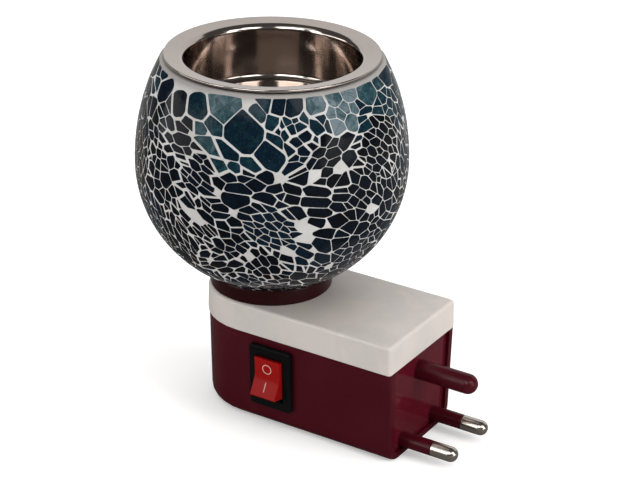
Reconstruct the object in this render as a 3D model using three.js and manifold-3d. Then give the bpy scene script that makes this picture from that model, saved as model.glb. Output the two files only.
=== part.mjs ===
// Plug-in electric camphor burner: a mosaic glass globe with a steel cup, on a small box that plugs
// into the wall. A bulb in the globe warms the cup, and a rocker switch on the box turns it on.
// Millimetres, +Z up. The origin lies on the underside, straight below the globe's axis. +X points
// the way the plug pins point, and -Y out of the side with the switch.

import * as THREE from 'three';
import { ConvexHull } from 'three/addons/math/ConvexHull.js';
import { mergeVertices } from 'three/addons/utils/BufferGeometryUtils.js';
import Module from 'manifold-3d';

const wasm = await Module();
wasm.setup();

// Clearances
const FIT = 0.3; // round a piece that sits in another
const SNUG = 0.15; // at a moulded joint line
const SEAM = 0.2; // between the tub's rim and the cover
const PAST = 1; // how far a cutter runs past what it cuts

// Plug pins
const PIN_SPACING = 19.05;
const PIN_DIAMETER = 4.8;
const PIN_REACH = 18.4; // from the plug face to the tip
const PIN_BARE_LENGTH = 8.4; // metal past the sleeve
const PIN_HEIGHT = 4.6; // axis above the underside
const PIN_CHAMFER = 0.2; // where the bare metal starts
const SLEEVE_DEPTH = 0.8; // how far the sleeve is let into the pin
const PIN_HEAD_LEDGE = 0.6; // the head's radius past the neck's
const PIN_HEAD_THICKNESS = 1.4;
const TAB_LENGTH = 3;
const TAB_WIDTH = 2.4;
const TAB_THICKNESS = 0.8;
const EARTH_DIAMETER = 6.3;
const EARTH_REACH = 18.9;
const EARTH_RISE = 19.8; // axis above those of the other two pins

// Tub of the box
const PLUG_FACE_X = 55.3; // from the globe's axis
const TUB_HEIGHT = 30.8;
const COVER_WIDTH = 39.9;
const COVER_OVERHANG = 0.4; // past the tub, each side
const SIDE_DRAFT = 1.3; // how far a side leans in over the tub's height
const END_DRAFT = 0.6; // the same at the round end
const WALL = 2;
const FLOOR = 2;
const BOTTOM_FILLET = 4;
const END_CORNER = 1;

// Plug end of the tub
const RIM_WIDTH = 2.8; // frame round the pin plate, at the sides
const RIM_FOOT = 1.9; // the same below
const PLATE_RECESS = 1;
const PLATE_THICKNESS = 2.2;
const GROOVE_WALL = 1.4;
const GROOVE_FLOOR = 1;
const RIB_THICKNESS = 2;
const RIB_REACH = 2;
const PASSAGE_CORNER = 1;

// Cover
const COVER_HEIGHT = 9.3;
const COVER_EDGE = 1; // rounding of the top edge
const COVER_SKIN = 2.7;
const COVER_WALL = 2.2;
const COVER_DRAFT = 0.2;
const TONGUE_THICKNESS = 1.2;
const TONGUE_FOOT = 1.5; // where it joins the cover's wall
const TONGUE_DEPTH = 2;
const TONGUE_SHORT = 6; // it ends this far short of the plate's ribs
const HOOK_WIDTH = 7;
const HOOK_ANGLE = 40; // either side of -X, degrees
const HOOK_DEPTH = 3.6; // below the tongue
const HOOK_LIP = 0.9;
const HOOK_ROOT = 1; // inside the tongue
const LEDGE_THICKNESS = 1.4;

// Screws of the cover, two at the plug end
const SCREW_FROM_FACE = 14.8;
const SCREW_Y = 11;
const SCREW_SHANK = 2.9;
const SCREW_HEAD = 4.6;
const SCREW_HEAD_HEIGHT = 2;
const SCREW_LENGTH = 18;
const SCREW_GRIP = 12; // plastic between the head and the top of its post
const POST_WALL = 1.2; // round the screw head's recess
const POST_DROP = 3.8; // top of a post below the tub's rim
const BOSS_WALL = 1.3;

// Collar under the globe
const COLLAR_DIAMETER = 38.2;
const COLLAR_HEIGHT = 5.1;
const COLLAR_EDGE = 0.8;
const COLLAR_SCREWS = 3;
const COLLAR_SCREW_SHANK = 2;
const COLLAR_SCREW_HEAD = 3.4;
const COLLAR_SCREW_HEAD_HEIGHT = 1.2;
const COLLAR_SCREW_LENGTH = 6;
const COLLAR_SCREW_WALL = 0.7; // between a screw's hole and the recess for the lamp holder

// Globe: two half ellipses on one waist
const GLOBE_DIAMETER = 84.4;
const WAIST_RISE = 36.1; // above the collar
const MOUTH_RISE = 32.6; // glass rim above the waist
const MOSAIC_THICKNESS = 2;
const MOSAIC_RIM_RISE = 0.5; // of the grout past the glass rim
const MOSAIC_RIM_EDGE = 0.8;
const SHARD_PITCH = 14; // from the middle of one shard to the next
const SHARD_JOINT = 1.3; // grout between two shards
const SHARD_RELIEF = 0.5; // how far the shards stand out of the grout
const SHARD_STRAY = 2.8; // how far a shard may lie from its even place, each way
const SHARD_DRAW = 11; // starts the random sequence that scatters the shards
const GLASS_THICKNESS = 2.5;
const GASKET_THICKNESS = 0.6;
const GASKET_WIDTH = 2.6;
const FOOT_PLAY = 1.5; // between the bowl's foot and the lamp holder
const MOUTH_PLAY = 1.3; // between the bowl's mouth and the cup

// Camphor cup
const CUP_BORE = 53.2;
const CUP_DEPTH = 17.6;
const CUP_SHEET = 0.8;
const CUP_LIP_RADIUS = 1.4;
const CUP_CORNER_RADIUS = 2;
const CUP_STEP_DIAMETER = 30;
const CUP_STEP_HEIGHT = 0.5;
const FLANGE_WIDTH = 6.2; // from the bore to the rim
const FLANGE_RISE = 0.9; // the flange's outer edge lies higher than its inner one

// Lamp holder
const THREAD_DIAMETER = 13.9; // of the bulb's cap, E14
const SHELL_THICKNESS = 0.5;
const SHELL_TAB_WIDTH = 3;
const SHELL_TAB_THICKNESS = 0.6;
const HOLDER_WALL = 2.75;
const HOLDER_BELOW = 11.3; // below the cover's top
const HOLDER_ABOVE = 13.7;
const HOLDER_FLOOR = 4;
const HOLDER_FLANGE_WIDTH = 1;
const HOLDER_FLANGE_THICKNESS = 2.2;
const HOLDER_TAIL = 3; // how far the two tails stand out below the holder
const CONTACT_DIAMETER = 5;
const CONTACT_THICKNESS = 0.6;
const CONTACT_STEM = 2.2;

// Bulb
const CAP_LENGTH = 20;
const CAP_TIP_DIAMETER = 5;
const CAP_TIP_HEIGHT = 1.8;
const CAP_TIP_FLARE = 1;
const CAP_SHOULDER = 2;
const CAP_SHEET = 0.6;
const BULB_DIAMETER = 22;
const BULB_LENGTH = 29; // glass above the cap
const BULB_SHOULDER = 5; // height over which the neck widens
const BULB_GLASS = 0.8;
const NECK_IN_CAP = 3; // how far the glass reaches into the cap
const STEM_DIAMETER = 5;
const STEM_FLARE = 4; // height over which the stem widens to the neck
const STEM_HEIGHT = 9;
const LEAD_SPREAD = 1.6; // of the filament's two leads where they leave the stem
const LEAD_ROOT = 1;
const FILAMENT_RADIUS = 4;
const FILAMENT_WIRE = 0.8;
const FILAMENT_Z = 13; // above the cap
const FILAMENT_BOW = 2.4;

// Rocker switch in the -Y side
const SWITCH_X = 13;
const SWITCH_DROP = 13; // its middle below the tub's rim
const ROCKER_WIDTH = 9.2;
const ROCKER_HALF_HEIGHT = 6.2;
const ROCKER_ROOM = 1.3; // above and below the rocker, for its swing
const ROCKER_FACE = 4.1; // from its pivot to the middle of its face
const ROCKER_DISH = 12; // how far each half of the face leans towards the middle, degrees
const ROCKER_THROW = 14; // either side of level, degrees
const ROCKER_PIVOT_DEPTH = 0.9; // behind the wall's surface
const ROCKER_SHOULDER = 1.2; // square ends down to here, before the pivot
const ROCKER_HEEL = 3.4; // behind the pivot
const ROCKER_HEEL_HALF = 2.5;
const ROCKER_BELLY = 1.4;
const ROCKER_BELLY_HALF = 4.2;
const ROCKER_STUB_DIAMETER = 2.4;
const ROCKER_STUB_LENGTH = 1;
const CASE_SIDE_WALL = 1.5;
const CASE_END_WALL = 1.9;
const CASE_BACK = 1.5;
const CASE_ROOT = 0.65; // how far the case runs into the bezel
const BEZEL_LIP = 1.1; // past the case, all round
const BEZEL_PROUD = 1.8;
const BEZEL_CORNER = 1;
const BEZEL_CHAMFER = 0.4;
const PLUNGER_DIAMETER = 2.5;
const PLUNGER_REACH = 7;
const PLUNGER_BORE_DEPTH = 3;
const LEVER_GAP = 0.6; // from the plunger's reach to the lever's middle
const LEVER_OVERLAP = 0.2; // how far the lever reaches past the rocker's ends
const LEVER_ROOM = 2.9; // behind it, to the case's back
const LEVER_WIDTH = 5;
const LEVER_THICKNESS = 0.8;
const LEVER_TILT = 8; // degrees
const TERMINAL_WIDTH = 4.8;
const TERMINAL_THICKNESS = 0.8;
const TERMINAL_LENGTH = 6; // behind the case
const TERMINAL_INSET = 0.6; // the end one's, from the rocker's end

// Wires
const WIRE_DIAMETER = 1.9;
const WIRE_SIDES = 8;

// Facets
const ROUND = 32; // large turned pieces
const HOLDER_ROUND = 28;
const CAP_ROUND = 24;
const BULB_ROUND = 20;
const SMALL_ROUND = 14; // screws, pins and posts
const END_STEPS = 16; // round end of the box
const CORNER_STEPS = 3;
const FILLET_STEPS = 5;
const GLASS_STEPS = 9;
const BULB_STEPS = 6;
const GOLDEN_ANGLE = 180 * (3 - Math.sqrt(5)); // from one shard of the spiral to the next, degrees

// Heights and half widths that follow
const COVER_BOTTOM = TUB_HEIGHT + SEAM;
const COVER_TOP = COVER_BOTTOM + COVER_HEIGHT;
const COVER_CEILING = COVER_TOP - COVER_SKIN;
const COLLAR_TOP = COVER_TOP + COLLAR_HEIGHT;
const GLASS_FOOT_Z = COLLAR_TOP + GASKET_THICKNESS;
const WAIST_Z = COLLAR_TOP + WAIST_RISE;
const GLASS_RIM_Z = WAIST_Z + MOUTH_RISE;
const FLANGE_Z = GLASS_RIM_Z + FIT; // underside of the flange at its inner edge
const TUB_HALF = COVER_WIDTH / 2 - COVER_OVERHANG;

const PLATE_FRONT = PLUG_FACE_X - PLATE_RECESS;
const PLATE_BACK = PLATE_FRONT - PLATE_THICKNESS;
const RIB_FRONT = PLATE_BACK - SNUG;
const RIB_BACK = RIB_FRONT - RIB_THICKNESS;
const LIP_BACK = PLATE_FRONT + SNUG;
const TONGUE_END_X = RIB_BACK - TONGUE_SHORT;
const PIN_NECK_RADIUS = PIN_DIAMETER / 2 - SLEEVE_DEPTH;
const PIN_HEAD_RADIUS = PIN_NECK_RADIUS + PIN_HEAD_LEDGE;
const PIN_HEAD_FRONT = PLATE_BACK - FIT;
const PIN_HEAD_BACK = PIN_HEAD_FRONT - PIN_HEAD_THICKNESS;
const TAB_END = PIN_HEAD_BACK - TAB_LENGTH;

const SCREW_X = PLUG_FACE_X - SCREW_FROM_FACE;
const POST_TOP_Z = TUB_HEIGHT - POST_DROP;
const SCREW_SEAT_Z = POST_TOP_Z - SCREW_GRIP;
const SCREW_RECESS = SCREW_HEAD / 2 + FIT;
const POST_RADIUS = SCREW_RECESS + POST_WALL;

const HOLDER_BORE = THREAD_DIAMETER / 2 + FIT + SHELL_THICKNESS + FIT;
const HOLDER_RADIUS = HOLDER_BORE + HOLDER_WALL;
const HOLDER_FLANGE_RADIUS = HOLDER_RADIUS + HOLDER_FLANGE_WIDTH;
const HOLDER_HOLE = HOLDER_RADIUS + FIT;
const HOLDER_BASE_Z = COVER_TOP - HOLDER_BELOW;
const HOLDER_TOP_Z = COVER_TOP + HOLDER_ABOVE;
const HOLDER_FLOOR_Z = HOLDER_BASE_Z + HOLDER_FLOOR;
const SHELL_MIDDLE = THREAD_DIAMETER / 2 + FIT + SHELL_THICKNESS / 2;
const CAP_FOOT_Z = HOLDER_FLOOR_Z + FIT + CONTACT_THICKNESS + FIT;
const CAP_TOP_Z = CAP_FOOT_Z + CAP_TIP_HEIGHT + CAP_LENGTH;
const BULB_NECK_RADIUS = THREAD_DIAMETER / 2 - CAP_SHEET - FIT / 2;
const GLASS_NECK_FOOT = CAP_TOP_Z - NECK_IN_CAP;

const COLLAR_RECESS = HOLDER_FLANGE_RADIUS + FIT;
const COLLAR_PILOT = COLLAR_SCREW_SHANK / 2 + FIT;
const COLLAR_SCREW_RADIUS = COLLAR_RECESS + COLLAR_SCREW_WALL + COLLAR_PILOT;

// Depths of the glass under the mosaic's surface, and the globe's half axes that follow from the
// bowl's foot, which seats on the gasket, and from its mouth, which takes the cup
const GLASS_DEPTH = MOSAIC_THICKNESS + FIT;
const GLASS_INNER_DEPTH = GLASS_DEPTH + GLASS_THICKNESS;
const BOWL_HOLE = HOLDER_RADIUS + FOOT_PLAY;
const GASKET_INNER = BOWL_HOLE + FIT;
const GASKET_OUTER = GASKET_INNER + GASKET_WIDTH;
const BOWL_FOOT = GASKET_OUTER + FIT;
const CUP_WALL = CUP_BORE / 2 + CUP_SHEET; // outer radius
const BOWL_MOUTH = CUP_WALL + MOUTH_PLAY;
const GLOBE_LOWER = halfAxis(WAIST_Z - GLASS_FOOT_Z, BOWL_FOOT, GLASS_DEPTH);
const GLOBE_UPPER = halfAxis(MOUTH_RISE, BOWL_MOUTH, GLASS_INNER_DEPTH);

const SWITCH_Z = TUB_HEIGHT - SWITCH_DROP;
const ROCKER_WINDOW = 2 * (ROCKER_HALF_HEIGHT + ROCKER_ROOM);
const CASE_WIDTH = ROCKER_WIDTH + 2 * (FIT + CASE_SIDE_WALL);
const CASE_HEIGHT = ROCKER_WINDOW + 2 * CASE_END_WALL;
const BEZEL_WIDTH = CASE_WIDTH + 2 * BEZEL_LIP;
const BEZEL_HEIGHT = CASE_HEIGHT + 2 * BEZEL_LIP;
const LEVER_DEPTH = ROCKER_PIVOT_DEPTH + PLUNGER_REACH + LEVER_GAP;
const LEVER_LENGTH = 2 * (ROCKER_HALF_HEIGHT + LEVER_OVERLAP);
const CASE_DEPTH = LEVER_DEPTH + LEVER_ROOM + CASE_BACK;
const END_TERMINAL_RISE = ROCKER_HALF_HEIGHT - TERMINAL_INSET; // above the centre one

// Half axis of the mosaic's surface from the waist to where the glass has a given radius
function halfAxis(rise, radius, depth) {
  const share = radius / (GLOBE_DIAMETER / 2 - depth);
  return rise / Math.sqrt(1 - share * share) + depth;
}

// Finishes
const finish = (color, roughness, metalness, extra = {}) =>
  new THREE.MeshStandardMaterial({ color, roughness, metalness, ...extra });
const maroon = finish(0x4a0d16, 0.22, 0);
const marble = finish(0xd3cdc7, 0.4, 0);
const blackPlastic = finish(0x101010, 0.35, 0);
const redPlastic = finish(0xa81410, 0.3, 0);
const porcelain = finish(0xe8e4dc, 0.3, 0);
const nickel = finish(0xb9b2a8, 0.18, 1);
const brass = finish(0xb08d4a, 0.3, 1);
const steel = finish(0xa39a92, 0.2, 1);
const screwSteel = finish(0x8b8c8e, 0.35, 1);
const mosaic = finish(0x1c2b38, 0.25, 0);
const clearGlass = finish(0xdfe8e6, 0.05, 0, { transparent: true, opacity: 0.35 });
const silicone = finish(0xd8d6d0, 0.6, 0);
const brownInsulation = finish(0x5a2e1a, 0.5, 0);
const blueInsulation = finish(0x1f3f7a, 0.5, 0);

// Turns a closed geometry into a solid that can be joined and cut
function solid(geometry) {
  const bare = geometry.clone();
  bare.deleteAttribute('normal');
  bare.deleteAttribute('uv');
  const merged = mergeVertices(bare, 1e-4);
  const corners = [];
  for (let i = 0; i < merged.index.count; i += 3) {
    const [a, b, c] = [0, 1, 2].map((k) => merged.index.getX(i + k));
    if (a !== b && b !== c && c !== a) corners.push(a, b, c);
  }
  const vertProperties = new Float32Array(merged.attributes.position.array);
  const triVerts = new Uint32Array(corners);
  return new wasm.Manifold(new wasm.Mesh({ numProp: 3, vertProperties, triVerts }));
}

// Turns a solid into a named mesh
function piece(name, body, material) {
  const { vertProperties, triVerts } = body.getMesh();
  const geometry = new THREE.BufferGeometry();
  geometry.setAttribute('position', new THREE.BufferAttribute(vertProperties, 3));
  geometry.setIndex(new THREE.BufferAttribute(triVerts, 1));
  const mesh = new THREE.Mesh(geometry, material);
  mesh.name = name;
  return mesh;
}

const join = (first, ...others) => others.reduce((body, other) => body.add(other), first);
const cut = (first, ...others) => others.reduce((body, other) => body.subtract(other), first);
const radians = THREE.MathUtils.degToRad;

// Revolve of [radius, height] points about Z, wound so that its faces point out
function turned(profile, segments = ROUND) {
  const points = profile.map(([r, z]) => new THREE.Vector2(r, z));
  if (THREE.ShapeUtils.area(points) < 0) points.reverse();
  points.push(points[0].clone());
  return solid(new THREE.LatheGeometry(points, segments).rotateX(Math.PI / 2));
}

// Upright rod between two heights
function rod(radius, low, high, x = 0, y = 0, sides = SMALL_ROUND) {
  const geometry = new THREE.CylinderGeometry(radius, radius, high - low, sides);
  return solid(geometry.rotateX(Math.PI / 2).translate(x, y, (low + high) / 2));
}

// Box between two corners
function block([x0, y0, z0], [x1, y1, z1]) {
  const geometry = new THREE.BoxGeometry(x1 - x0, y1 - y0, z1 - z0);
  return geometry.translate((x0 + x1) / 2, (y0 + y1) / 2, (z0 + z1) / 2);
}

// Extrusion along X of a shape drawn in Y and Z
function alongX(shape, from, to) {
  const geometry = new THREE.ExtrudeGeometry(shape, {
    depth: to - from, bevelEnabled: false, curveSegments: FILLET_STEPS,
  });
  const yzx = new THREE.Matrix4().makeBasis(
    new THREE.Vector3(0, 1, 0), new THREE.Vector3(0, 0, 1), new THREE.Vector3(1, 0, 0),
  );
  return geometry.applyMatrix4(yzx).translate(from, 0, 0);
}

// Skin through a stack of level outlines with equal numbers of points, closed at both ends
function loft(rings) {
  const count = rings[0].points.length;
  const positions = rings.flatMap(({ points, z }) => points.flatMap(([x, y]) => [x, y, z]));
  const index = [];
  for (let k = 0; k + 1 < rings.length; k += 1) {
    for (let i = 0; i < count; i += 1) {
      const [a, b] = [k * count + i, k * count + (i + 1) % count];
      index.push(a, b, b + count, a, b + count, a + count);
    }
  }
  const cap = THREE.ShapeUtils.triangulateShape(
    rings[0].points.map(([x, y]) => new THREE.Vector2(x, y)), [],
  );
  const top = (rings.length - 1) * count;
  cap.forEach(([a, b, c]) => index.push(a, c, b, top + a, top + b, top + c));
  const geometry = new THREE.BufferGeometry();
  geometry.setAttribute('position', new THREE.Float32BufferAttribute(positions, 3));
  geometry.setIndex(index);
  return geometry;
}

// Arc as points, from one angle to another in degrees
function arc(x, y, radius, from, to, steps) {
  return Array.from({ length: steps + 1 }, (_, i) => {
    const angle = radians(from + (to - from) * i / steps);
    return [x + radius * Math.cos(angle), y + radius * Math.sin(angle)];
  });
}

// Plan of the box: a round end on the left, and two small corners at the plug end
function boxPlan(half, left, right, corner) {
  return [
    ...arc(left + half, 0, half, 90, 270, END_STEPS),
    ...arc(right - corner, corner - half, corner, 270, 360, CORNER_STEPS),
    ...arc(right - corner, half - corner, corner, 0, 90, CORNER_STEPS),
  ];
}

function rectanglePlan(width, height, corner) {
  const [x, y] = [width / 2 - corner, height / 2 - corner];
  const corners = [[x, y], [-x, y], [-x, -y], [x, -y]];
  return corners.flatMap(([cx, cy], i) => arc(cx, cy, corner, 90 * i, 90 * (i + 1), CORNER_STEPS));
}

// The tub's sides lean in towards the floor
const leanAt = (z) => Math.min(1, 1 - z / TUB_HEIGHT);
const tubHalf = (z) => TUB_HALF - SIDE_DRAFT * leanAt(z);
const tubLeft = (z) => -(TUB_HALF - END_DRAFT * leanAt(z));

// Outline of the tub at a height, drawn in by an inset on all sides but the plug end
function tubRing(z, inset, right, corner = END_CORNER) {
  return { z, points: boxPlan(tubHalf(z) - inset, tubLeft(z) + inset, right, corner) };
}

// Section of the plug end in Y and Z, with leaning sides and rounded lower corners
function endShape(inset, low, high, corner) {
  const foot = tubHalf(low + corner) - inset;
  const head = tubHalf(high) - inset;
  const shape = new THREE.Shape();
  shape.moveTo(head, high);
  shape.lineTo(-head, high);
  shape.absarc(corner - foot, low + corner, corner, Math.PI, 1.5 * Math.PI, false);
  shape.absarc(foot - corner, low + corner, corner, 1.5 * Math.PI, 2 * Math.PI, false);
  shape.closePath();
  return shape;
}

const screwPlaces = [-SCREW_Y, SCREW_Y];
const SWITCH_LEAN = Math.atan(SIDE_DRAFT / TUB_HEIGHT);
const switchPanel = new THREE.Group();
switchPanel.position.set(SWITCH_X, -tubHalf(SWITCH_Z), SWITCH_Z);
switchPanel.rotation.x = SWITCH_LEAN;
switchPanel.updateMatrixWorld();

function makeHousing() {
  const fillet = Array.from({ length: FILLET_STEPS + 1 }, (_, i) => {
    const angle = radians(90 * i / FILLET_STEPS);
    const [inset, z] = [1 - Math.sin(angle), 1 - Math.cos(angle)].map((share) => share * BOTTOM_FILLET);
    return tubRing(z, inset, PLUG_FACE_X);
  });
  const outer = [...fillet, tubRing(TUB_HEIGHT, 0, PLUG_FACE_X)];
  const over = TUB_HEIGHT + PAST;
  const innerFillet = BOTTOM_FILLET - FLOOR;
  const inner = [
    tubRing(FLOOR, WALL + innerFillet, RIB_BACK),
    tubRing(FLOOR + innerFillet / 2, WALL + innerFillet / 4, RIB_BACK),
    tubRing(FLOOR + innerFillet, WALL, RIB_BACK),
    tubRing(over, WALL, RIB_BACK),
  ];
  const passage = alongX(
    endShape(GROOVE_WALL + RIB_REACH, FLOOR, over, PASSAGE_CORNER), RIB_BACK - PAST, RIB_FRONT + PAST,
  );
  const groove = alongX(
    endShape(GROOVE_WALL, GROOVE_FLOOR, over, BOTTOM_FILLET - GROOVE_WALL), RIB_FRONT, LIP_BACK,
  );
  const window = alongX(
    endShape(RIM_WIDTH, RIM_FOOT, over, BOTTOM_FILLET - RIM_FOOT), PLATE_FRONT, PLUG_FACE_X + PAST,
  );
  const hollow = cut(
    solid(loft(outer)), solid(loft(inner)), solid(passage), solid(groove), solid(window),
  );
  const posts = screwPlaces.map((y) => rod(POST_RADIUS, FLOOR / 2, POST_TOP_Z, SCREW_X, y));
  const bores = screwPlaces.flatMap((y) => [
    rod(SCREW_RECESS, -PAST, SCREW_SEAT_Z, SCREW_X, y),
    rod(SCREW_SHANK / 2 + FIT, SCREW_SEAT_Z - PAST, POST_TOP_Z + PAST, SCREW_X, y),
  ]);
  const opening = block(
    [-CASE_WIDTH / 2 - FIT, -WALL, -CASE_HEIGHT / 2 - FIT],
    [CASE_WIDTH / 2 + FIT, 2 * WALL, CASE_HEIGHT / 2 + FIT],
  ).applyMatrix4(switchPanel.matrixWorld);
  const shell = join(hollow, ...makeLedges(), ...posts);
  return piece('housing', cut(shell, solid(opening), ...bores), maroon);
}

// Two ledges inside the round end hold the cover's hooks down
const TONGUE_LOW = COVER_BOTTOM - TONGUE_DEPTH;
const HOOK_LOW = TONGUE_LOW - HOOK_DEPTH;
const TONGUE_OUTSIDE = TUB_HALF - WALL - FIT; // radius of the tongue round the globe's axis
const TONGUE_INSIDE = TONGUE_OUTSIDE - TONGUE_THICKNESS;
const LEDGE_FACE = (TONGUE_INSIDE + TONGUE_OUTSIDE) / 2;
const hookAngles = [180 - HOOK_ANGLE, 180 + HOOK_ANGLE];

// Block that stands across a ray from the globe's axis
function acrossRay(degrees, [near, low], [far, high]) {
  const upright = block([near, -HOOK_WIDTH / 2, low], [far, HOOK_WIDTH / 2, high]);
  return solid(upright.rotateZ(radians(degrees)));
}

function makeLedges() {
  const low = HOOK_LOW + HOOK_LIP + FIT;
  return hookAngles.map((angle) => (
    acrossRay(angle, [LEDGE_FACE, low], [TUB_HALF - WALL / 2, low + LEDGE_THICKNESS])
  ));
}

function makeHooks() {
  const root = TONGUE_INSIDE - HOOK_ROOT;
  return hookAngles.flatMap((angle) => [
    acrossRay(angle, [root, HOOK_LOW], [LEDGE_FACE - FIT, COVER_BOTTOM]),
    acrossRay(angle, [root, HOOK_LOW], [TONGUE_OUTSIDE - FIT, HOOK_LOW + HOOK_LIP]),
  ]);
}

function makeCover() {
  const half = COVER_WIDTH / 2;
  const ring = (z, inset, right = PLUG_FACE_X) => (
    { z, points: boxPlan(half - inset, inset - half, right - inset, END_CORNER) }
  );
  const edge = [0, 30, 60, 90].map(radians).map((angle) => ring(
    COVER_TOP - COVER_EDGE * (1 - Math.sin(angle)),
    COVER_DRAFT + COVER_EDGE * (1 - Math.cos(angle)),
  ));
  const slab = solid(loft([ring(COVER_BOTTOM, 0), ...edge]));
  const hollow = solid(loft([ring(COVER_BOTTOM - PAST, COVER_WALL), ring(COVER_CEILING, COVER_WALL)]));
  const post = (low, high, inset, end) => solid(loft([ring(low, inset, end), ring(high, inset, end)]));
  const inset = COVER_OVERHANG + WALL + FIT;
  const foot = COVER_BOTTOM + TONGUE_FOOT;
  const tongue = cut(
    join(
      post(TONGUE_LOW, foot, inset, TONGUE_END_X),
      post(COVER_BOTTOM, foot, COVER_WALL / 2, TONGUE_END_X),
    ),
    post(TONGUE_LOW - PAST, COVER_CEILING, inset + TONGUE_THICKNESS, TONGUE_END_X + inset + 2 * PAST),
  );
  const pilot = SCREW_SHANK / 2 + FIT;
  const bosses = screwPlaces.map((y) => (
    rod(pilot + BOSS_WALL, POST_TOP_Z + FIT, COVER_CEILING + PAST, SCREW_X, y)
  ));
  const pilots = screwPlaces.map((y) => (
    rod(pilot, POST_TOP_Z, SCREW_SEAT_Z + SCREW_LENGTH + FIT, SCREW_X, y)
  ));
  const holes = [
    rod(HOLDER_HOLE, COVER_CEILING - PAST, COVER_TOP + PAST, 0, 0, ROUND),
    ...collarScrewPlaces().map(([x, y]) => (
      rod(COLLAR_PILOT, COVER_CEILING - PAST, COVER_TOP + PAST, x, y)
    )),
  ];
  const shell = join(cut(slab, hollow), tongue, ...bosses, ...makeHooks());
  return piece('top_cover', cut(shell, ...holes, ...pilots), marble);
}

function makeCoverScrew(name, y) {
  const top = SCREW_SEAT_Z - FIT;
  const body = turned([
    [0, top - SCREW_HEAD_HEIGHT], [SCREW_HEAD / 2, top - SCREW_HEAD_HEIGHT], [SCREW_HEAD / 2, top],
    [SCREW_SHANK / 2, top], [SCREW_SHANK / 2, top + SCREW_LENGTH - SCREW_SHANK], [0, top + SCREW_LENGTH],
  ], SMALL_ROUND);
  return piece(name, body.translate([SCREW_X, y, 0]), screwSteel);
}

// Pin plate, moulded with both sleeves and the dummy earth pin
function pinBody(profile) {
  const points = profile.map(([x, r]) => new THREE.Vector2(r, x));
  if (THREE.ShapeUtils.area(points) < 0) points.reverse();
  points.push(points[0].clone());
  return solid(new THREE.LatheGeometry(points, SMALL_ROUND).rotateZ(-Math.PI / 2));
}

// Profile points of a round nose along X, ending on the axis
function nose(end, radius) {
  return arc(end - radius, 0, radius, 90, 0, FILLET_STEPS).map(([x, r]) => [x, Math.max(0, r)]);
}

function makePinPlate() {
  const plate = solid(alongX(
    endShape(GROOVE_WALL + SNUG, GROOVE_FLOOR + SNUG, TUB_HEIGHT - SNUG, BOTTOM_FILLET - GROOVE_WALL),
    PLATE_BACK, PLATE_FRONT,
  ));
  const middle = (PLATE_BACK + PLATE_FRONT) / 2;
  const sleeveEnd = PLUG_FACE_X + PIN_REACH - PIN_BARE_LENGTH - SNUG;
  const stick = (from, to, radius) => pinBody([[from, 0], [from, radius], [to, radius], [to, 0]]);
  const sleeve = stick(middle, sleeveEnd, PIN_DIAMETER / 2);
  const bore = stick(PLATE_BACK - PAST, sleeveEnd + PAST, PIN_NECK_RADIUS + FIT);
  const earth = pinBody([
    [middle, 0], [middle, EARTH_DIAMETER / 2], ...nose(PLUG_FACE_X + EARTH_REACH, EARTH_DIAMETER / 2),
  ]).translate([0, 0, PIN_HEIGHT + EARTH_RISE]);
  const pinAt = (body, side) => body.translate([0, side * PIN_SPACING / 2, PIN_HEIGHT]);
  const whole = join(plate, earth, pinAt(sleeve, -1), pinAt(sleeve, 1));
  return piece('pin_plate', cut(whole, pinAt(bore, -1), pinAt(bore, 1)), maroon);
}

function makePin(name, side) {
  const tipStart = PLUG_FACE_X + PIN_REACH - PIN_BARE_LENGTH;
  const radius = PIN_DIAMETER / 2;
  const turnedPart = pinBody([
    [PIN_HEAD_BACK, 0], [PIN_HEAD_BACK, PIN_HEAD_RADIUS], [PIN_HEAD_FRONT, PIN_HEAD_RADIUS],
    [PIN_HEAD_FRONT, PIN_NECK_RADIUS], [tipStart, PIN_NECK_RADIUS],
    [tipStart, radius - PIN_CHAMFER], [tipStart + PIN_CHAMFER, radius],
    ...nose(PLUG_FACE_X + PIN_REACH, radius),
  ]);
  const tab = solid(block(
    [TAB_END, -TAB_WIDTH / 2, -TAB_THICKNESS / 2],
    [PIN_HEAD_BACK + PIN_HEAD_THICKNESS / 2, TAB_WIDTH / 2, TAB_THICKNESS / 2],
  ));
  const pin = join(turnedPart, tab).translate([0, side * PIN_SPACING / 2, PIN_HEIGHT]);
  return piece(name, pin, nickel);
}

function collarScrewPlaces() {
  return Array.from({ length: COLLAR_SCREWS }, (_, i) => {
    const angle = radians(360 * i / COLLAR_SCREWS);
    return [COLLAR_SCREW_RADIUS * Math.cos(angle), COLLAR_SCREW_RADIUS * Math.sin(angle)];
  });
}

// Ring that carries the globe and traps the lamp holder's flange
function makeCollar() {
  const outer = COLLAR_DIAMETER / 2;
  const recessTop = COVER_TOP + HOLDER_FLANGE_THICKNESS + FIT;
  const body = turned([
    [COLLAR_RECESS, COVER_TOP], [outer, COVER_TOP], [outer, COLLAR_TOP - COLLAR_EDGE],
    [outer - COLLAR_EDGE, COLLAR_TOP], [HOLDER_HOLE, COLLAR_TOP], [HOLDER_HOLE, recessTop],
    [COLLAR_RECESS, recessTop],
  ]);
  const pilots = collarScrewPlaces().map(([x, y]) => (
    rod(COLLAR_PILOT, COVER_TOP - PAST, COVER_CEILING + COLLAR_SCREW_LENGTH + FIT, x, y)
  ));
  return piece('globe_collar', cut(body, ...pilots), maroon);
}

function makeCollarScrew(name, [x, y]) {
  const top = COVER_CEILING - FIT;
  const body = turned([
    [0, top - COLLAR_SCREW_HEAD_HEIGHT], [COLLAR_SCREW_HEAD / 2, top - COLLAR_SCREW_HEAD_HEIGHT],
    [COLLAR_SCREW_HEAD / 2, top], [COLLAR_SCREW_SHANK / 2, top],
    [COLLAR_SCREW_SHANK / 2, top + COLLAR_SCREW_LENGTH - COLLAR_SCREW_SHANK],
    [0, top + COLLAR_SCREW_LENGTH],
  ], SMALL_ROUND);
  return piece(name, body.translate([x, y, 0]), screwSteel);
}

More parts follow.
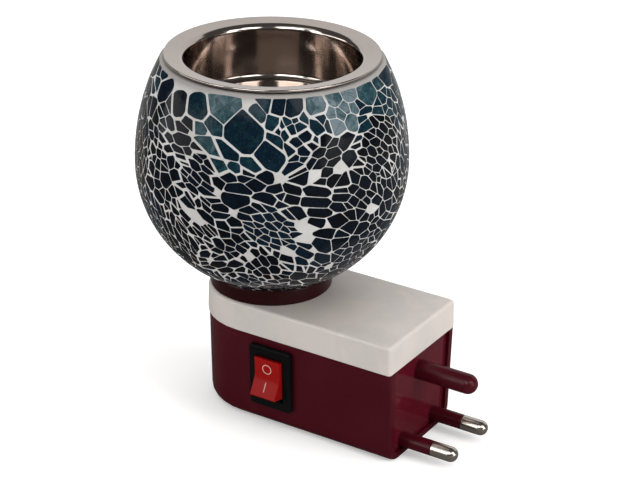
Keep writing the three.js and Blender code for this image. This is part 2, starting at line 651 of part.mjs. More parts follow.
// Radius of the globe at a height, for a surface that lies a given depth under the outermost one
function globeRadius(z, depth = 0) {
  const share = (z - WAIST_Z) / ((z < WAIST_Z ? GLOBE_LOWER : GLOBE_UPPER) - depth);
  return (GLOBE_DIAMETER / 2 - depth) * Math.sqrt(Math.max(0, 1 - share * share));
}

// Height under the waist at which such a surface has a given radius
function globeHeightBelow(radius, depth) {
  const share = radius / (GLOBE_DIAMETER / 2 - depth);
  return WAIST_Z - (GLOBE_LOWER - depth) * Math.sqrt(1 - share * share);
}

// Heights that follow the globe's curve closely at both ends
function globeHeights(low, high, steps) {
  return Array.from({ length: steps + 1 }, (_, i) => {
    const part = 0.5 - 0.5 * Math.cos(Math.PI * i / steps);
    return low + (high - low) * (0.4 * i / steps + 0.6 * part);
  });
}

function globeProfile(low, high, depth, steps) {
  return globeHeights(low, high, steps).map((z) => [globeRadius(z, depth), z]);
}

function makeGasket() {
  return piece('globe_gasket', turned([
    [GASKET_INNER, COLLAR_TOP], [GASKET_OUTER, COLLAR_TOP],
    [GASKET_OUTER, GLASS_FOOT_Z], [GASKET_INNER, GLASS_FOOT_Z],
  ]), silicone);
}

function makeBowl() {
  const innerFoot = globeHeightBelow(BOWL_HOLE, GLASS_INNER_DEPTH);
  return piece('glass_bowl', turned([
    [BOWL_HOLE, GLASS_FOOT_Z],
    ...globeProfile(GLASS_FOOT_Z, GLASS_RIM_Z, GLASS_DEPTH, GLASS_STEPS),
    ...globeProfile(innerFoot, GLASS_RIM_Z, GLASS_INNER_DEPTH, GLASS_STEPS).reverse(),
  ]), clearGlass);
}

// Directions from the globe's middle to the shards: a spiral with equal steps of area, strayed
function shardPlaces() {
  const count = Math.round(Math.PI * (GLOBE_DIAMETER / SHARD_PITCH) ** 2);
  THREE.MathUtils.seededRandom(SHARD_DRAW);
  const stray = () => (2 * THREE.MathUtils.seededRandom() - 1) * SHARD_STRAY / (GLOBE_DIAMETER / 2);
  return Array.from({ length: count }, (_, i) => {
    const rise = (2 * i + 1) / count - 1;
    const reach = Math.sqrt(1 - rise ** 2);
    const angle = radians(GOLDEN_ANGLE * i);
    const place = new THREE.Vector3(reach * Math.cos(angle), reach * Math.sin(angle), rise);
    return place.add(new THREE.Vector3(stray(), stray(), stray())).normalize();
  });
}

// Corners of each shard's share of the globe, anticlockwise. Three shares meet at a corner, which
// lies where the plane through the three shards' middles faces.
function shardShares(places) {
  const shares = new Map(places.map((place) => [place, []]));
  new ConvexHull().setFromPoints(places).faces.forEach((face) => {
    [0, 1, 2].forEach((k) => shares.get(face.getEdge(k).head().point).push(face.normal));
  });
  shares.forEach((corners, place) => {
    const level = new THREE.Vector3(0, 0, 1).cross(place);
    const up = place.clone().cross(level);
    const turn = (corner) => Math.atan2(corner.dot(up), corner.dot(level));
    corners.sort((a, b) => turn(a) - turn(b));
  });
  return shares;
}

// Point of the globe's surface, or at a depth under it, in a direction from its middle
function onGlobe(direction, depth) {
  const wide = GLOBE_DIAMETER / 2 - depth;
  const tall = (direction.z < 0 ? GLOBE_LOWER : GLOBE_UPPER) - depth;
  const length = 1 / Math.hypot(direction.x / wide, direction.y / wide, direction.z / tall);
  return direction.clone().multiplyScalar(length).add(new THREE.Vector3(0, 0, WAIST_Z));
}

// Whole globe of grout, with the shards standing out of it
function shardGlobe() {
  const corners = [];
  shardShares(shardPlaces()).forEach((share, place) => {
    const outline = share.map((corner) => corner.clone().lerp(place, SHARD_JOINT / SHARD_PITCH));
    const [top, foot] = [0, SHARD_RELIEF].map((depth) => outline.map((point) => onGlobe(point, depth)));
    const edge = share.map((point) => onGlobe(point, SHARD_RELIEF));
    share.forEach((_, i) => {
      const j = (i + 1) % share.length;
      corners.push(onGlobe(place, 0), top[i], top[j]);
      corners.push(top[i], foot[i], foot[j], top[i], foot[j], top[j]);
      corners.push(foot[i], edge[i], edge[j], foot[i], edge[j], foot[j]);
    });
  });
  return solid(new THREE.BufferGeometry().setFromPoints(corners));
}

// Mosaic on the outside of the bowl: the globe of shards, kept between foot and bevelled rim
function makeMosaic() {
  const foot = COLLAR_TOP + FIT;
  const rim = GLASS_RIM_Z + MOSAIC_RIM_RISE;
  const lip = globeRadius(rim) - MOSAIC_RIM_EDGE;
  const bevel = 2 * (globeRadius(rim - MOSAIC_RIM_EDGE) - lip);
  const wall = turned([
    [GLOBE_DIAMETER, foot], [GLOBE_DIAMETER, rim - 2 * MOSAIC_RIM_EDGE],
    [lip + bevel, rim - 2 * MOSAIC_RIM_EDGE], [lip, rim],
    ...globeProfile(foot, rim, MOSAIC_THICKNESS, GLASS_STEPS).reverse(),
  ]);
  return piece('mosaic_skin', shardGlobe().intersect(wall), mosaic);
}

// Spun steel cup that hangs by its flange on the glass rim
function makeCup() {
  const bore = CUP_BORE / 2;
  const rim = bore + FLANGE_WIDTH;
  const lip = CUP_LIP_RADIUS;
  const corner = CUP_CORNER_RADIUS;
  const inner = FLANGE_Z + CUP_SHEET; // top of the flange where the lip starts
  const floor = inner - CUP_DEPTH;
  const step = CUP_STEP_DIAMETER / 2;
  const inside = [
    [rim, inner + FLANGE_RISE],
    ...arc(bore + lip, inner - lip, lip, 90, 180, CORNER_STEPS),
    ...arc(bore - corner, floor + corner, corner, 0, -90, CORNER_STEPS),
    [step, floor], [step - CUP_STEP_HEIGHT, floor - CUP_STEP_HEIGHT], [0, floor - CUP_STEP_HEIGHT],
  ];
  const under = floor - CUP_SHEET;
  const outside = [
    [0, under - CUP_STEP_HEIGHT], [step, under - CUP_STEP_HEIGHT],
    ...arc(CUP_WALL - corner, under + corner, corner, -90, 0, CORNER_STEPS),
    [CUP_WALL, FLANGE_Z - lip / 2], [CUP_WALL + lip / 2, FLANGE_Z],
    [rim, FLANGE_Z + FLANGE_RISE],
  ];
  return piece('camphor_cup', turned([...inside, ...outside]), steel);
}

function makeHolder() {
  const flangeTop = COVER_TOP + HOLDER_FLANGE_THICKNESS;
  const body = turned([
    [0, HOLDER_BASE_Z], [HOLDER_RADIUS, HOLDER_BASE_Z], [HOLDER_RADIUS, COVER_TOP],
    [HOLDER_FLANGE_RADIUS, COVER_TOP], [HOLDER_FLANGE_RADIUS, flangeTop], [HOLDER_RADIUS, flangeTop],
    [HOLDER_RADIUS, HOLDER_TOP_Z], [HOLDER_BORE, HOLDER_TOP_Z], [HOLDER_BORE, HOLDER_FLOOR_Z],
    [0, HOLDER_FLOOR_Z],
  ], HOLDER_ROUND);
  const stemHole = rod(CONTACT_STEM / 2 + FIT, HOLDER_BASE_Z - PAST, HOLDER_FLOOR_Z + PAST);
  const tabSlot = shellTail(FIT, HOLDER_BASE_Z - PAST, HOLDER_FLOOR_Z + PAST);
  return piece('lamp_holder', cut(body, stemHole, tabSlot), porcelain);
}

// Tail of the threaded shell, or with a margin the slot that it passes through
function shellTail(margin, low, high) {
  const [thick, wide] = [SHELL_TAB_THICKNESS / 2 + margin, SHELL_TAB_WIDTH / 2 + margin];
  return solid(block([-SHELL_MIDDLE - thick, -wide, low], [-SHELL_MIDDLE + thick, wide, high]));
}

function makeHolderShell() {
  const [inner, outer] = [SHELL_MIDDLE - SHELL_THICKNESS / 2, SHELL_MIDDLE + SHELL_THICKNESS / 2];
  const [foot, top] = [HOLDER_FLOOR_Z + FIT, HOLDER_TOP_Z - FIT];
  const sleeve = turned([[inner, foot], [outer, foot], [outer, top], [inner, top]], HOLDER_ROUND);
  const tail = shellTail(0, HOLDER_BASE_Z - HOLDER_TAIL, foot + PAST);
  return piece('holder_shell', join(sleeve, tail), brass);
}

function makeHolderContact() {
  const low = HOLDER_FLOOR_Z + FIT;
  const tail = HOLDER_BASE_Z - HOLDER_TAIL;
  return piece('holder_contact', turned([
    [0, tail], [CONTACT_STEM / 2, tail], [CONTACT_STEM / 2, low], [CONTACT_DIAMETER / 2, low],
    [CONTACT_DIAMETER / 2, low + CONTACT_THICKNESS], [0, low + CONTACT_THICKNESS],
  ], SMALL_ROUND), brass);
}

// Cap of the bulb: a cup with its contact at the bottom, open where the glass enters
function makeBulbCap() {
  const outer = THREAD_DIAMETER / 2;
  const tip = CAP_TIP_DIAMETER / 2;
  const neck = CAP_FOOT_Z + CAP_TIP_HEIGHT;
  const shoulder = neck + CAP_SHOULDER;
  return piece('bulb_cap', turned([
    [0, CAP_FOOT_Z], [tip, CAP_FOOT_Z], [tip + CAP_TIP_FLARE, neck], [outer, shoulder],
    [outer, CAP_TOP_Z], [outer - CAP_SHEET, CAP_TOP_Z], [outer - CAP_SHEET, shoulder + CAP_SHEET],
    [tip, neck + CAP_SHEET], [0, neck + CAP_SHEET],
  ], CAP_ROUND), nickel);
}

// Bulb envelope: a short neck that widens into a round head, open below
function bulbProfile(depth) {
  const neck = BULB_NECK_RADIUS - depth;
  const head = BULB_DIAMETER / 2 - depth;
  const centre = CAP_TOP_Z + BULB_LENGTH - BULB_DIAMETER / 2;
  const neckTop = CAP_TOP_Z + FIT;
  return [
    [neck, GLASS_NECK_FOOT], [neck, neckTop], [0.55 * neck + 0.45 * head, neckTop + BULB_SHOULDER],
    ...arc(0, centre, head, -35, 90, BULB_STEPS).map(([r, z]) => [Math.max(0, r), z]),
  ];
}

function makeBulbGlass() {
  const profile = [...bulbProfile(0), ...bulbProfile(BULB_GLASS).reverse()];
  return piece('bulb_glass', turned(profile, BULB_ROUND), clearGlass);
}

// Glass stem, flared where it is fused to the neck, with the filament bowed over it
function makeBulbStem() {
  const flare = BULB_NECK_RADIUS - BULB_GLASS - FIT;
  const radius = STEM_DIAMETER / 2;
  const top = CAP_TOP_Z + STEM_HEIGHT;
  const stem = turned([
    [0, GLASS_NECK_FOOT], [flare, GLASS_NECK_FOOT], [flare, GLASS_NECK_FOOT + BULB_GLASS],
    [radius, GLASS_NECK_FOOT + STEM_FLARE], [radius, top], [0, top],
  ], SMALL_ROUND);
  const crown = CAP_TOP_Z + FILAMENT_Z;
  const bow = new THREE.CatmullRomCurve3([
    [-LEAD_SPREAD, top - LEAD_ROOT], [-FILAMENT_RADIUS, crown], [0, crown + FILAMENT_BOW],
    [FILAMENT_RADIUS, crown], [LEAD_SPREAD, top - LEAD_ROOT],
  ].map(([x, z]) => new THREE.Vector3(x, 0, z)));
  return piece('bulb_stem', join(stem, tube(bow, FILAMENT_WIRE, 6, 20)), clearGlass);
}

// Round section pushed along a curve
function tube(curve, diameter, sides, steps) {
  const section = new THREE.Shape(arc(0, 0, diameter / 2, 0, 360 - 360 / sides, sides - 1).map(
    ([x, y]) => new THREE.Vector2(x, y),
  ));
  return solid(new THREE.ExtrudeGeometry(section, { steps, extrudePath: curve, bevelEnabled: false }));
}

// Turns a shape built across, up and out of the switch panel into the panel group's own frame
const fromPanel = (geometry) => geometry.rotateX(Math.PI / 2);

function makeSwitchBody() {
  const plan = (grow, v) => (
    { z: v, points: rectanglePlan(BEZEL_WIDTH + 2 * grow, BEZEL_HEIGHT + 2 * grow, BEZEL_CORNER) }
  );
  const bezel = solid(fromPanel(loft([
    plan(0, SNUG), plan(0, BEZEL_PROUD - BEZEL_CHAMFER), plan(-BEZEL_CHAMFER, BEZEL_PROUD),
  ])));
  const box = (width, height, out, back) => solid(block(
    [-width / 2, -out, -height / 2], [width / 2, back, height / 2],
  ));
  const well = CASE_DEPTH - CASE_BACK;
  const inside = box(ROCKER_WIDTH + 2 * FIT, ROCKER_WINDOW, BEZEL_PROUD + PAST, well);
  const slot = (rise) => solid(block(
    [-TERMINAL_WIDTH / 2 - FIT, well - PAST, rise - TERMINAL_THICKNESS / 2 - FIT],
    [TERMINAL_WIDTH / 2 + FIT, CASE_DEPTH + PAST, rise + TERMINAL_THICKNESS / 2 + FIT],
  ));
  const stubHole = solid(new THREE.CylinderGeometry(
    ROCKER_STUB_DIAMETER / 2 + FIT, ROCKER_STUB_DIAMETER / 2 + FIT,
    ROCKER_WIDTH + 2 * (ROCKER_STUB_LENGTH + FIT), SMALL_ROUND,
  ).rotateZ(Math.PI / 2).translate(0, ROCKER_PIVOT_DEPTH, 0));
  const shell = join(bezel, box(CASE_WIDTH, CASE_HEIGHT, CASE_ROOT, CASE_DEPTH));
  const slots = [slot(0), slot(END_TERMINAL_RISE)];
  return piece('switch_body', cut(shell, inside, stubHole, ...slots), blackPlastic);
}

// Rocker about its own pivot: a dished face over a tapering heel, with a stub on each side
function makeRocker() {
  const half = ROCKER_HALF_HEIGHT;
  const end = ROCKER_FACE + half * Math.tan(radians(ROCKER_DISH));
  const heel = [
    [end, half], [ROCKER_SHOULDER, half], [-ROCKER_BELLY, ROCKER_BELLY_HALF],
    [-ROCKER_HEEL, ROCKER_HEEL_HALF],
  ];
  const outline = [...heel.map(([v, z]) => [v, -z]), ...heel.reverse(), [ROCKER_FACE, 0]];
  const side = outline.map(([v, z]) => new THREE.Vector2(-v, z));
  const body = solid(alongX(new THREE.Shape(side), -ROCKER_WIDTH / 2, ROCKER_WIDTH / 2));
  const round = (diameter, length) => (
    new THREE.CylinderGeometry(diameter / 2, diameter / 2, length, SMALL_ROUND)
  );
  const stubLength = ROCKER_WIDTH + 2 * ROCKER_STUB_LENGTH;
  const stubs = solid(round(ROCKER_STUB_DIAMETER, stubLength).rotateZ(Math.PI / 2));
  const boreLength = PLUNGER_BORE_DEPTH + PAST;
  const boreMiddle = ROCKER_HEEL + PAST - boreLength / 2;
  const bore = solid(round(PLUNGER_DIAMETER + 2 * FIT, boreLength).translate(0, boreMiddle, 0));
  return piece('rocker', cut(join(body, stubs), bore), redPlastic);
}

// Spring-loaded plunger in the rocker's heel
function makePlunger() {
  const radius = PLUNGER_DIAMETER / 2;
  const start = ROCKER_HEEL - PLUNGER_BORE_DEPTH + FIT;
  const profile = [
    [0, start], [radius, start],
    ...arc(0, PLUNGER_REACH - radius, radius, 0, 90, 4).map(([r, y]) => [Math.max(0, r), y]),
  ].map(([r, y]) => new THREE.Vector2(r, y));
  if (THREE.ShapeUtils.area(profile) < 0) profile.reverse();
  profile.push(profile[0].clone());
  return piece('rocker_plunger', solid(new THREE.LatheGeometry(profile, 12)), porcelain);
}

function makeLever() {
  const thick = LEVER_THICKNESS / 2;
  return piece('contact_lever', solid(block(
    [-LEVER_WIDTH / 2, -thick, -LEVER_LENGTH / 2], [LEVER_WIDTH / 2, thick, LEVER_LENGTH / 2],
  )), brass);
}

function makeTerminal(name, rise, front) {
  return piece(name, solid(block(
    [-TERMINAL_WIDTH / 2, front, rise - TERMINAL_THICKNESS / 2],
    [TERMINAL_WIDTH / 2, CASE_DEPTH + TERMINAL_LENGTH, rise + TERMINAL_THICKNESS / 2],
  )), brass);
}

function makeSwitch() {
  const rocker = new THREE.Group();
  rocker.add(makeRocker(), makePlunger());
  rocker.position.y = ROCKER_PIVOT_DEPTH;
  rocker.rotation.x = -radians(ROCKER_THROW);
  const lever = makeLever();
  lever.position.y = LEVER_DEPTH;
  lever.rotation.x = radians(LEVER_TILT);
  const leverDrop = LEVER_LENGTH / 2 * Math.sin(radians(LEVER_TILT)) + LEVER_THICKNESS / 2;
  switchPanel.add(
    makeSwitchBody(), rocker, lever,
    makeTerminal('terminal_centre', 0, LEVER_DEPTH + LEVER_THICKNESS / 2 + FIT),
    makeTerminal('terminal_end', END_TERMINAL_RISE, LEVER_DEPTH + leverDrop + FIT),
  );
  return switchPanel;
}

function makeWire(name, points, material) {
  const curve = new THREE.CatmullRomCurve3(points.map((p) => new THREE.Vector3(...p)));
  return piece(name, tube(curve, WIRE_DIAMETER, WIRE_SIDES, 2 * points.length + 2), material);
}

// Point behind a terminal, straight out of it
function behindTerminal(rise, gap) {
  return switchPanel.localToWorld(
    new THREE.Vector3(0, CASE_DEPTH + TERMINAL_LENGTH + gap, rise),
  ).toArray();
}

// Routes of the three wires: from the pins past the inside of the screw posts, low over the floor,
// and up to the switch and the lamp holder, in steps of their own diameter
function makeWires() {
  const w = WIRE_DIAMETER;
  const bed = FLOOR + 1.2 * w;
  const side = PIN_SPACING / 2;
  const lane = SCREW_Y - POST_RADIUS - w;
  const tails = HOLDER_BASE_Z - HOLDER_TAIL - FIT;
  const [centreX, centreY, centreZ] = behindTerminal(0, FIT);
  const [endX, endY, endZ] = behindTerminal(END_TERMINAL_RISE, FIT);
  const fromPin = (way) => [
    [TAB_END - FIT, way * side, PIN_HEIGHT],
    [TAB_END - FIT - 0.7 * w, way * (side - 0.3 * w), PIN_HEIGHT],
    [SCREW_X + 1.3 * w, way * (lane + 0.4 * w), bed],
    [SCREW_X - 1.3 * w, way * lane, bed],
  ];
  return [
    makeWire('wire_live', [
      ...fromPin(-1),
      [centreX + 9 * w, centreY - 2.2 * w, bed],
      [centreX + 5.8 * w, centreY, bed],
      [centreX + 3.4 * w, centreY + 2.2 * w, bed + 2 * w],
      [centreX + w, centreY + 3 * w, centreZ - 2.4 * w],
      behindTerminal(0, 2.1 * w),
      [centreX, centreY, centreZ],
    ], brownInsulation),
    makeWire('wire_switched', [
      [endX, endY, endZ],
      behindTerminal(END_TERMINAL_RISE, 1.6 * w),
      [endX - 2.4 * w, endY + 2.5 * w, endZ - 0.8 * w],
      [1.8 * w, 1.8 * w, tails - 2.8 * w],
      [0, 0.3 * w, tails - 2.3 * w],
      [0, 0, tails - w],
      [0, 0, tails],
    ], brownInsulation),
    makeWire('wire_neutral', [
      ...fromPin(1),
      [centreX + 8 * w, 4.4 * w, bed],
      [centreX - 0.5 * w, 5 * w, bed],
      [-w, 4.2 * w, bed],
      [-SHELL_MIDDLE - 0.1 * w, 1.9 * w, bed + 2.4 * w],
      [-SHELL_MIDDLE, 0.3 * w, tails - 4.6 * w],
      [-SHELL_MIDDLE, 0, tails - w],
      [-SHELL_MIDDLE, 0, tails],
    ], blueInsulation),
  ];
}

const burner = new THREE.Group();
burner.add(
  makeHousing(), makeCover(),
  ...screwPlaces.map((y, i) => makeCoverScrew(`cover_screw_${i + 1}`, y)),
  makePinPlate(), makePin('live_pin', -1), makePin('neutral_pin', 1),
  makeCollar(), ...collarScrewPlaces().map((place, i) => makeCollarScrew(`collar_screw_${i + 1}`, place)),
  makeGasket(), makeBowl(), makeMosaic(), makeCup(),
  makeHolder(), makeHolderShell(), makeHolderContact(),
  makeBulbCap(), makeBulbGlass(), makeBulbStem(),
  makeSwitch(), ...makeWires(),
);

export default burner;
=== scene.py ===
# %% [markdown]
# # A plug-in electric camphor burner
#
# A small maroon box stands on the floor with the pins of its plug pointing right. It has a marble-look lid,
# and on the lid sits a glass globe covered in dark mosaic with a spun steel cup in its mouth.
#
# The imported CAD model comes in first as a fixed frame. Every finished piece is made round it, in the same
# place and at the same size, and rides on one of its bodies. Sizes below are in millimetres; Blender gets
# metres.

# %% Load the frame
import math

import bmesh
import bpy
import numpy as np
from mathutils import Matrix, Vector, noise


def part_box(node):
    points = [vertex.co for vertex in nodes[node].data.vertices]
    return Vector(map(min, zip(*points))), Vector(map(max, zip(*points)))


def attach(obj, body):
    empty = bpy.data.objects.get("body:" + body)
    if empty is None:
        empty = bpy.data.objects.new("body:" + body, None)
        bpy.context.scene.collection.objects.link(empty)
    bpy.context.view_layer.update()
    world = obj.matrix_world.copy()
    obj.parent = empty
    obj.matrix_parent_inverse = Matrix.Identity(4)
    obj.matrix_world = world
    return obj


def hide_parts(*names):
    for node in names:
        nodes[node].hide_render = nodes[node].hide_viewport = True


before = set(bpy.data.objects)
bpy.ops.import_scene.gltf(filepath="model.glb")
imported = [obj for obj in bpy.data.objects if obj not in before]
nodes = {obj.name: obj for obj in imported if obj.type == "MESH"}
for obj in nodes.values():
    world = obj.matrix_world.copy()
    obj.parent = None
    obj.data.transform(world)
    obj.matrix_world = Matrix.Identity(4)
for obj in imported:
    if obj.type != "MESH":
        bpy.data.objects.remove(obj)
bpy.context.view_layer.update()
MM = 0.001

# %% [markdown]
# ## Camera
#
# A photograph fixes its camera: the directions of the box's long edges give the angle, and the way that the
# near end looks bigger gives the distance. The values below come from fitting such a camera to the
# photograph's corners and circles. The lens is long, so the picture has little perspective.

# %% Camera
PICTURE_WIDTH = 635
FOCAL_PIXELS = 2043.77
SENSOR = 36
CAMERA_PLACE = Vector((317.95, -483.72, 323.72))
AZIMUTH, PITCH, ROLL = math.radians(31.899), math.radians(25.199), math.radians(0.901)

camera_data = bpy.data.cameras.new("camera")
camera_data.sensor_width = SENSOR
camera_data.lens = FOCAL_PIXELS * SENSOR / PICTURE_WIDTH
camera = bpy.data.objects.new("camera", camera_data)
camera.matrix_world = (
    Matrix.Translation(CAMERA_PLACE * MM)
    @ Matrix.Rotation(AZIMUTH, 4, "Z")
    @ Matrix.Rotation(math.pi / 2 - PITCH, 4, "X")
    @ Matrix.Rotation(ROLL, 4, "Z")
)
bpy.context.scene.collection.objects.link(camera)
bpy.context.scene.camera = camera
print("lens", round(camera_data.lens, 1), "mm")

# %% [markdown]
# ## Nodes by name
#
# A material is a small graph. Helpers keep the graphs short: one adds a node and fills its sockets, where a
# value that is itself a socket becomes a link, and others multiply, mix two colours or read a noise.

# %% Helpers for shader graphs
def fill(tree, node, inputs):
    """Fills the inputs of a node, by name or number."""
    for name, value in inputs.items():
        if isinstance(value, bpy.types.NodeSocket):
            tree.links.new(value, node.inputs[name])
        else:
            node.inputs[name].default_value = value


def add(tree, kind, inputs=None, **settings):
    """Adds a node with its settings, such as data_type, and fills its inputs."""
    node = tree.nodes.new("ShaderNode" + kind)
    node.location = (190 * len(tree.nodes), 0)
    for name, value in settings.items():
        setattr(node, name, value)
    fill(tree, node, inputs or {})
    return node


def math_node(tree, operation, *values):
    return add(tree, "Math", dict(enumerate(values)), operation=operation).outputs[0]


def product(tree, first, second):
    return math_node(tree, "MULTIPLY", first, second)


def clouds_at(tree, place, scale, detail, **more):
    """Noise from 0 to 1 at a place."""
    return add(tree, "TexNoise", {"Vector": place, "Scale": scale, "Detail": detail, **more}).outputs[0]


def mix_colours(tree, share, first, second):
    first, second = (c if isinstance(c, bpy.types.NodeSocket) else (*c, 1) for c in (first, second))
    return add(tree, "Mix", {0: share, 6: first, 7: second}, data_type="RGBA").outputs[2]


def spread(tree, value, low, high, to_low=0.0, to_high=1.0):
    """Stretches the range low to high of a value to another range, clamped at its ends."""
    inputs = {0: value, 1: low, 2: high, 3: to_low, 4: to_high}
    return add(tree, "MapRange", inputs, clamp=True).outputs[0]


def ramp(tree, value, stops):
    node = add(tree, "ValToRGB", {0: value})
    stripe = node.color_ramp.elements
    while len(stripe) < len(stops):
        stripe.new(1)
    for element, (place, colour) in zip(stripe, stops):
        element.position = place
        element.color = (*colour, 1)
    return node.outputs[0]


def object_place(tree):
    return add(tree, "TexCoord").outputs["Object"]


# %% [markdown]
# ## Effects that several finishes share
#
# Moulded plastic, glaze and enamel all carry a faint grain, a broad smudging from handling, and a few
# specks of dust. Turned and spun metal carries fine lines that run round its axis. Each is a node group
# that gives masks and heights only, so that every material decides what to do with them.

# %% Node groups
def make_group(name, defaults, outputs):
    """A group that reads a vector and some numbers, and gives numbers."""
    tree = bpy.data.node_groups.new(name, "ShaderNodeTree")
    tree.interface.new_socket("Vector", in_out="INPUT", socket_type="NodeSocketVector")
    for label, value in defaults.items():
        socket = tree.interface.new_socket(label, in_out="INPUT", socket_type="NodeSocketFloat")
        socket.default_value = value
    for label in outputs:
        tree.interface.new_socket(label, in_out="OUTPUT", socket_type="NodeSocketFloat")
    return tree, tree.nodes.new("NodeGroupInput").outputs, tree.nodes.new("NodeGroupOutput")


def make_handled_surface():
    masks = dict(Grain=2500.0, Smudge=60.0, Dust=900.0)
    tree, given, out = make_group("handled surface", masks, masks)
    place = given["Vector"]
    grain = clouds_at(tree, place, given["Grain"], 3)
    broad = clouds_at(tree, place, given["Smudge"], 5)
    cells = add(tree, "TexVoronoi", {"Vector": place, "Scale": given["Dust"]})
    speck = spread(tree, cells.outputs["Distance"], 0.06, 0.16, 1, 0)
    where = spread(tree, clouds_at(tree, place, 140, 2), 0.6, 0.68)
    dust = product(tree, speck, where)
    fill(tree, out, {"Grain": grain, "Smudge": spread(tree, broad, 0.35, 0.65), "Dust": dust})
    return tree


def make_turned_lines():
    """Lines round the Z axis of the vector that it is given."""
    tree, given, out = make_group("turned lines", dict(Fineness=4000.0), ["Lines", "Streaks"])
    x, y, z = add(tree, "SeparateXYZ", {0: given["Vector"]}).outputs
    radius = math_node(tree, "SQRT", math_node(tree, "ADD", product(tree, x, x), product(tree, y, y)))
    across = add(tree, "CombineXYZ", {0: radius, 1: z}).outputs[0]
    fine = clouds_at(tree, across, given["Fineness"], 4)
    fine.node.noise_dimensions = "2D"
    round_it = add(tree, "Mapping", {"Vector": given["Vector"], "Scale": (1, 1, 0.12)}).outputs[0]
    broad = clouds_at(tree, round_it, 160, 3)
    fill(tree, out, {"Lines": fine, "Streaks": spread(tree, broad, 0.3, 0.7)})
    return tree


handled_surface = make_handled_surface()
turned_lines = make_turned_lines()
print("groups", [group.name for group in bpy.data.node_groups])

# %% [markdown]
# ## Moulded plastics
#
# The box, the collar and the sleeves are a deep maroon ABS with a polished mould finish: a dark red body
# under a clear gloss. The gloss is broken by a very shallow grain, and handling leaves it a little duller
# in places. The same recipe with other numbers gives the black bezel, the red rocker and the small plain
# parts inside.

# %% Plastic finishes
def start_material(name):
    material = bpy.data.materials.new(name)
    material.use_nodes = True
    tree = material.node_tree
    return material, tree, tree.nodes["Principled BSDF"]


def shared(tree, group, **values):
    """Places a shared group in a material, reading object coordinates."""
    node = tree.nodes.new("ShaderNodeGroup")
    node.node_tree = group
    tree.links.new(object_place(tree), node.inputs["Vector"])
    for name, value in values.items():
        node.inputs[name].default_value = value
    return node.outputs


def bump(tree, surface, height, depth, strength=1.0):
    """Bends the surface by a height from 0 to 1 that stands for a depth in millimetres."""
    node = add(tree, "Bump", {"Strength": strength, "Distance": depth * MM, "Height": height})
    tree.links.new(node.outputs[0], surface.inputs["Normal"])


def moulded_plastic(
    name, colour, worn, rough, rough_worn, shine=0.5, grain=2500.0, depth=0.004, dusty=0.25,
):
    """Colour and roughness where it is clean and where it is worn, its gloss, and its grain and dust."""
    material, tree, surface = start_material(name)
    marks = shared(tree, handled_surface, Grain=grain)
    body = mix_colours(tree, marks["Smudge"], colour, worn)
    dust = product(tree, marks["Dust"], dusty)
    fill(tree, surface, {
        "Base Color": mix_colours(tree, dust, body, (0.5, 0.47, 0.45)),
        "Roughness": spread(tree, marks["Smudge"], 0, 1, rough, rough_worn),
        "Specular IOR Level": shine,
    })
    bump(tree, surface, marks["Grain"], depth)
    return material


DEEP_MAROON, WORN_MAROON = (0.046, 0.0018, 0.0058), (0.052, 0.0026, 0.0068)
maroon = moulded_plastic("maroon plastic", DEEP_MAROON, WORN_MAROON, 0.24, 0.27, 0.16, dusty=0.05)
# painted shade: the collar's maroon is a darker copy of the box's maroon, standing for the shade under the globe
shaded_collar_maroon = moulded_plastic(
    "collar maroon, painted shade", (0.017, 0.0013, 0.002), (0.02, 0.0018, 0.0026), 0.26, 0.3, 0.14,
)
# painted light: the plate's maroon is a lighter copy of the box's maroon, for the light from the right that falls
# on the plate; its higher gloss is real
polished_lit_maroon = moulded_plastic(
    "polished maroon, painted light", (0.066, 0.0036, 0.009), (0.07, 0.0045, 0.01), 0.09, 0.12, 0.2,
    depth=0.002, dusty=0.05,
)
black = moulded_plastic(
    "black plastic", (0.0035, 0.0035, 0.0035), (0.005, 0.005, 0.005), 0.4, 0.5, 0.06, 4000.0, 0.01, 0.1,
)
red = moulded_plastic(
    "red plastic", (0.25, 0.0055, 0.0045), (0.225, 0.005, 0.0045), 0.2, 0.26, 0.06, dusty=0.1,
)
white_plastic = moulded_plastic("white plastic", (0.72, 0.71, 0.67), (0.66, 0.64, 0.6), 0.45, 0.55)
silicone = moulded_plastic("silicone", (0.62, 0.61, 0.58), (0.56, 0.55, 0.52), 0.5, 0.62)
brown_wire = moulded_plastic("brown insulation", (0.12, 0.03, 0.01), (0.10, 0.026, 0.01), 0.4, 0.5)
blue_wire = moulded_plastic("blue insulation", (0.015, 0.05, 0.2), (0.013, 0.043, 0.17), 0.4, 0.5)
paint = moulded_plastic("switch mark paint", (0.62, 0.36, 0.33), (0.55, 0.30, 0.27), 0.5, 0.6, 0.3)
porcelain = moulded_plastic("glazed porcelain", (0.8, 0.78, 0.73), (0.76, 0.74, 0.69), 0.12, 0.2)
print(len(bpy.data.materials), "finishes so far")

# %% [markdown]
# ## Marble-look lid
#
# The lid is a white plastic made to look like marble. Real marble has veins that fork and fade. A broad
# noise bends the place where a second noise is read, and only the narrow band round its middle value is
# kept as a vein. They stay faint, since the photograph shows little more than clouds.

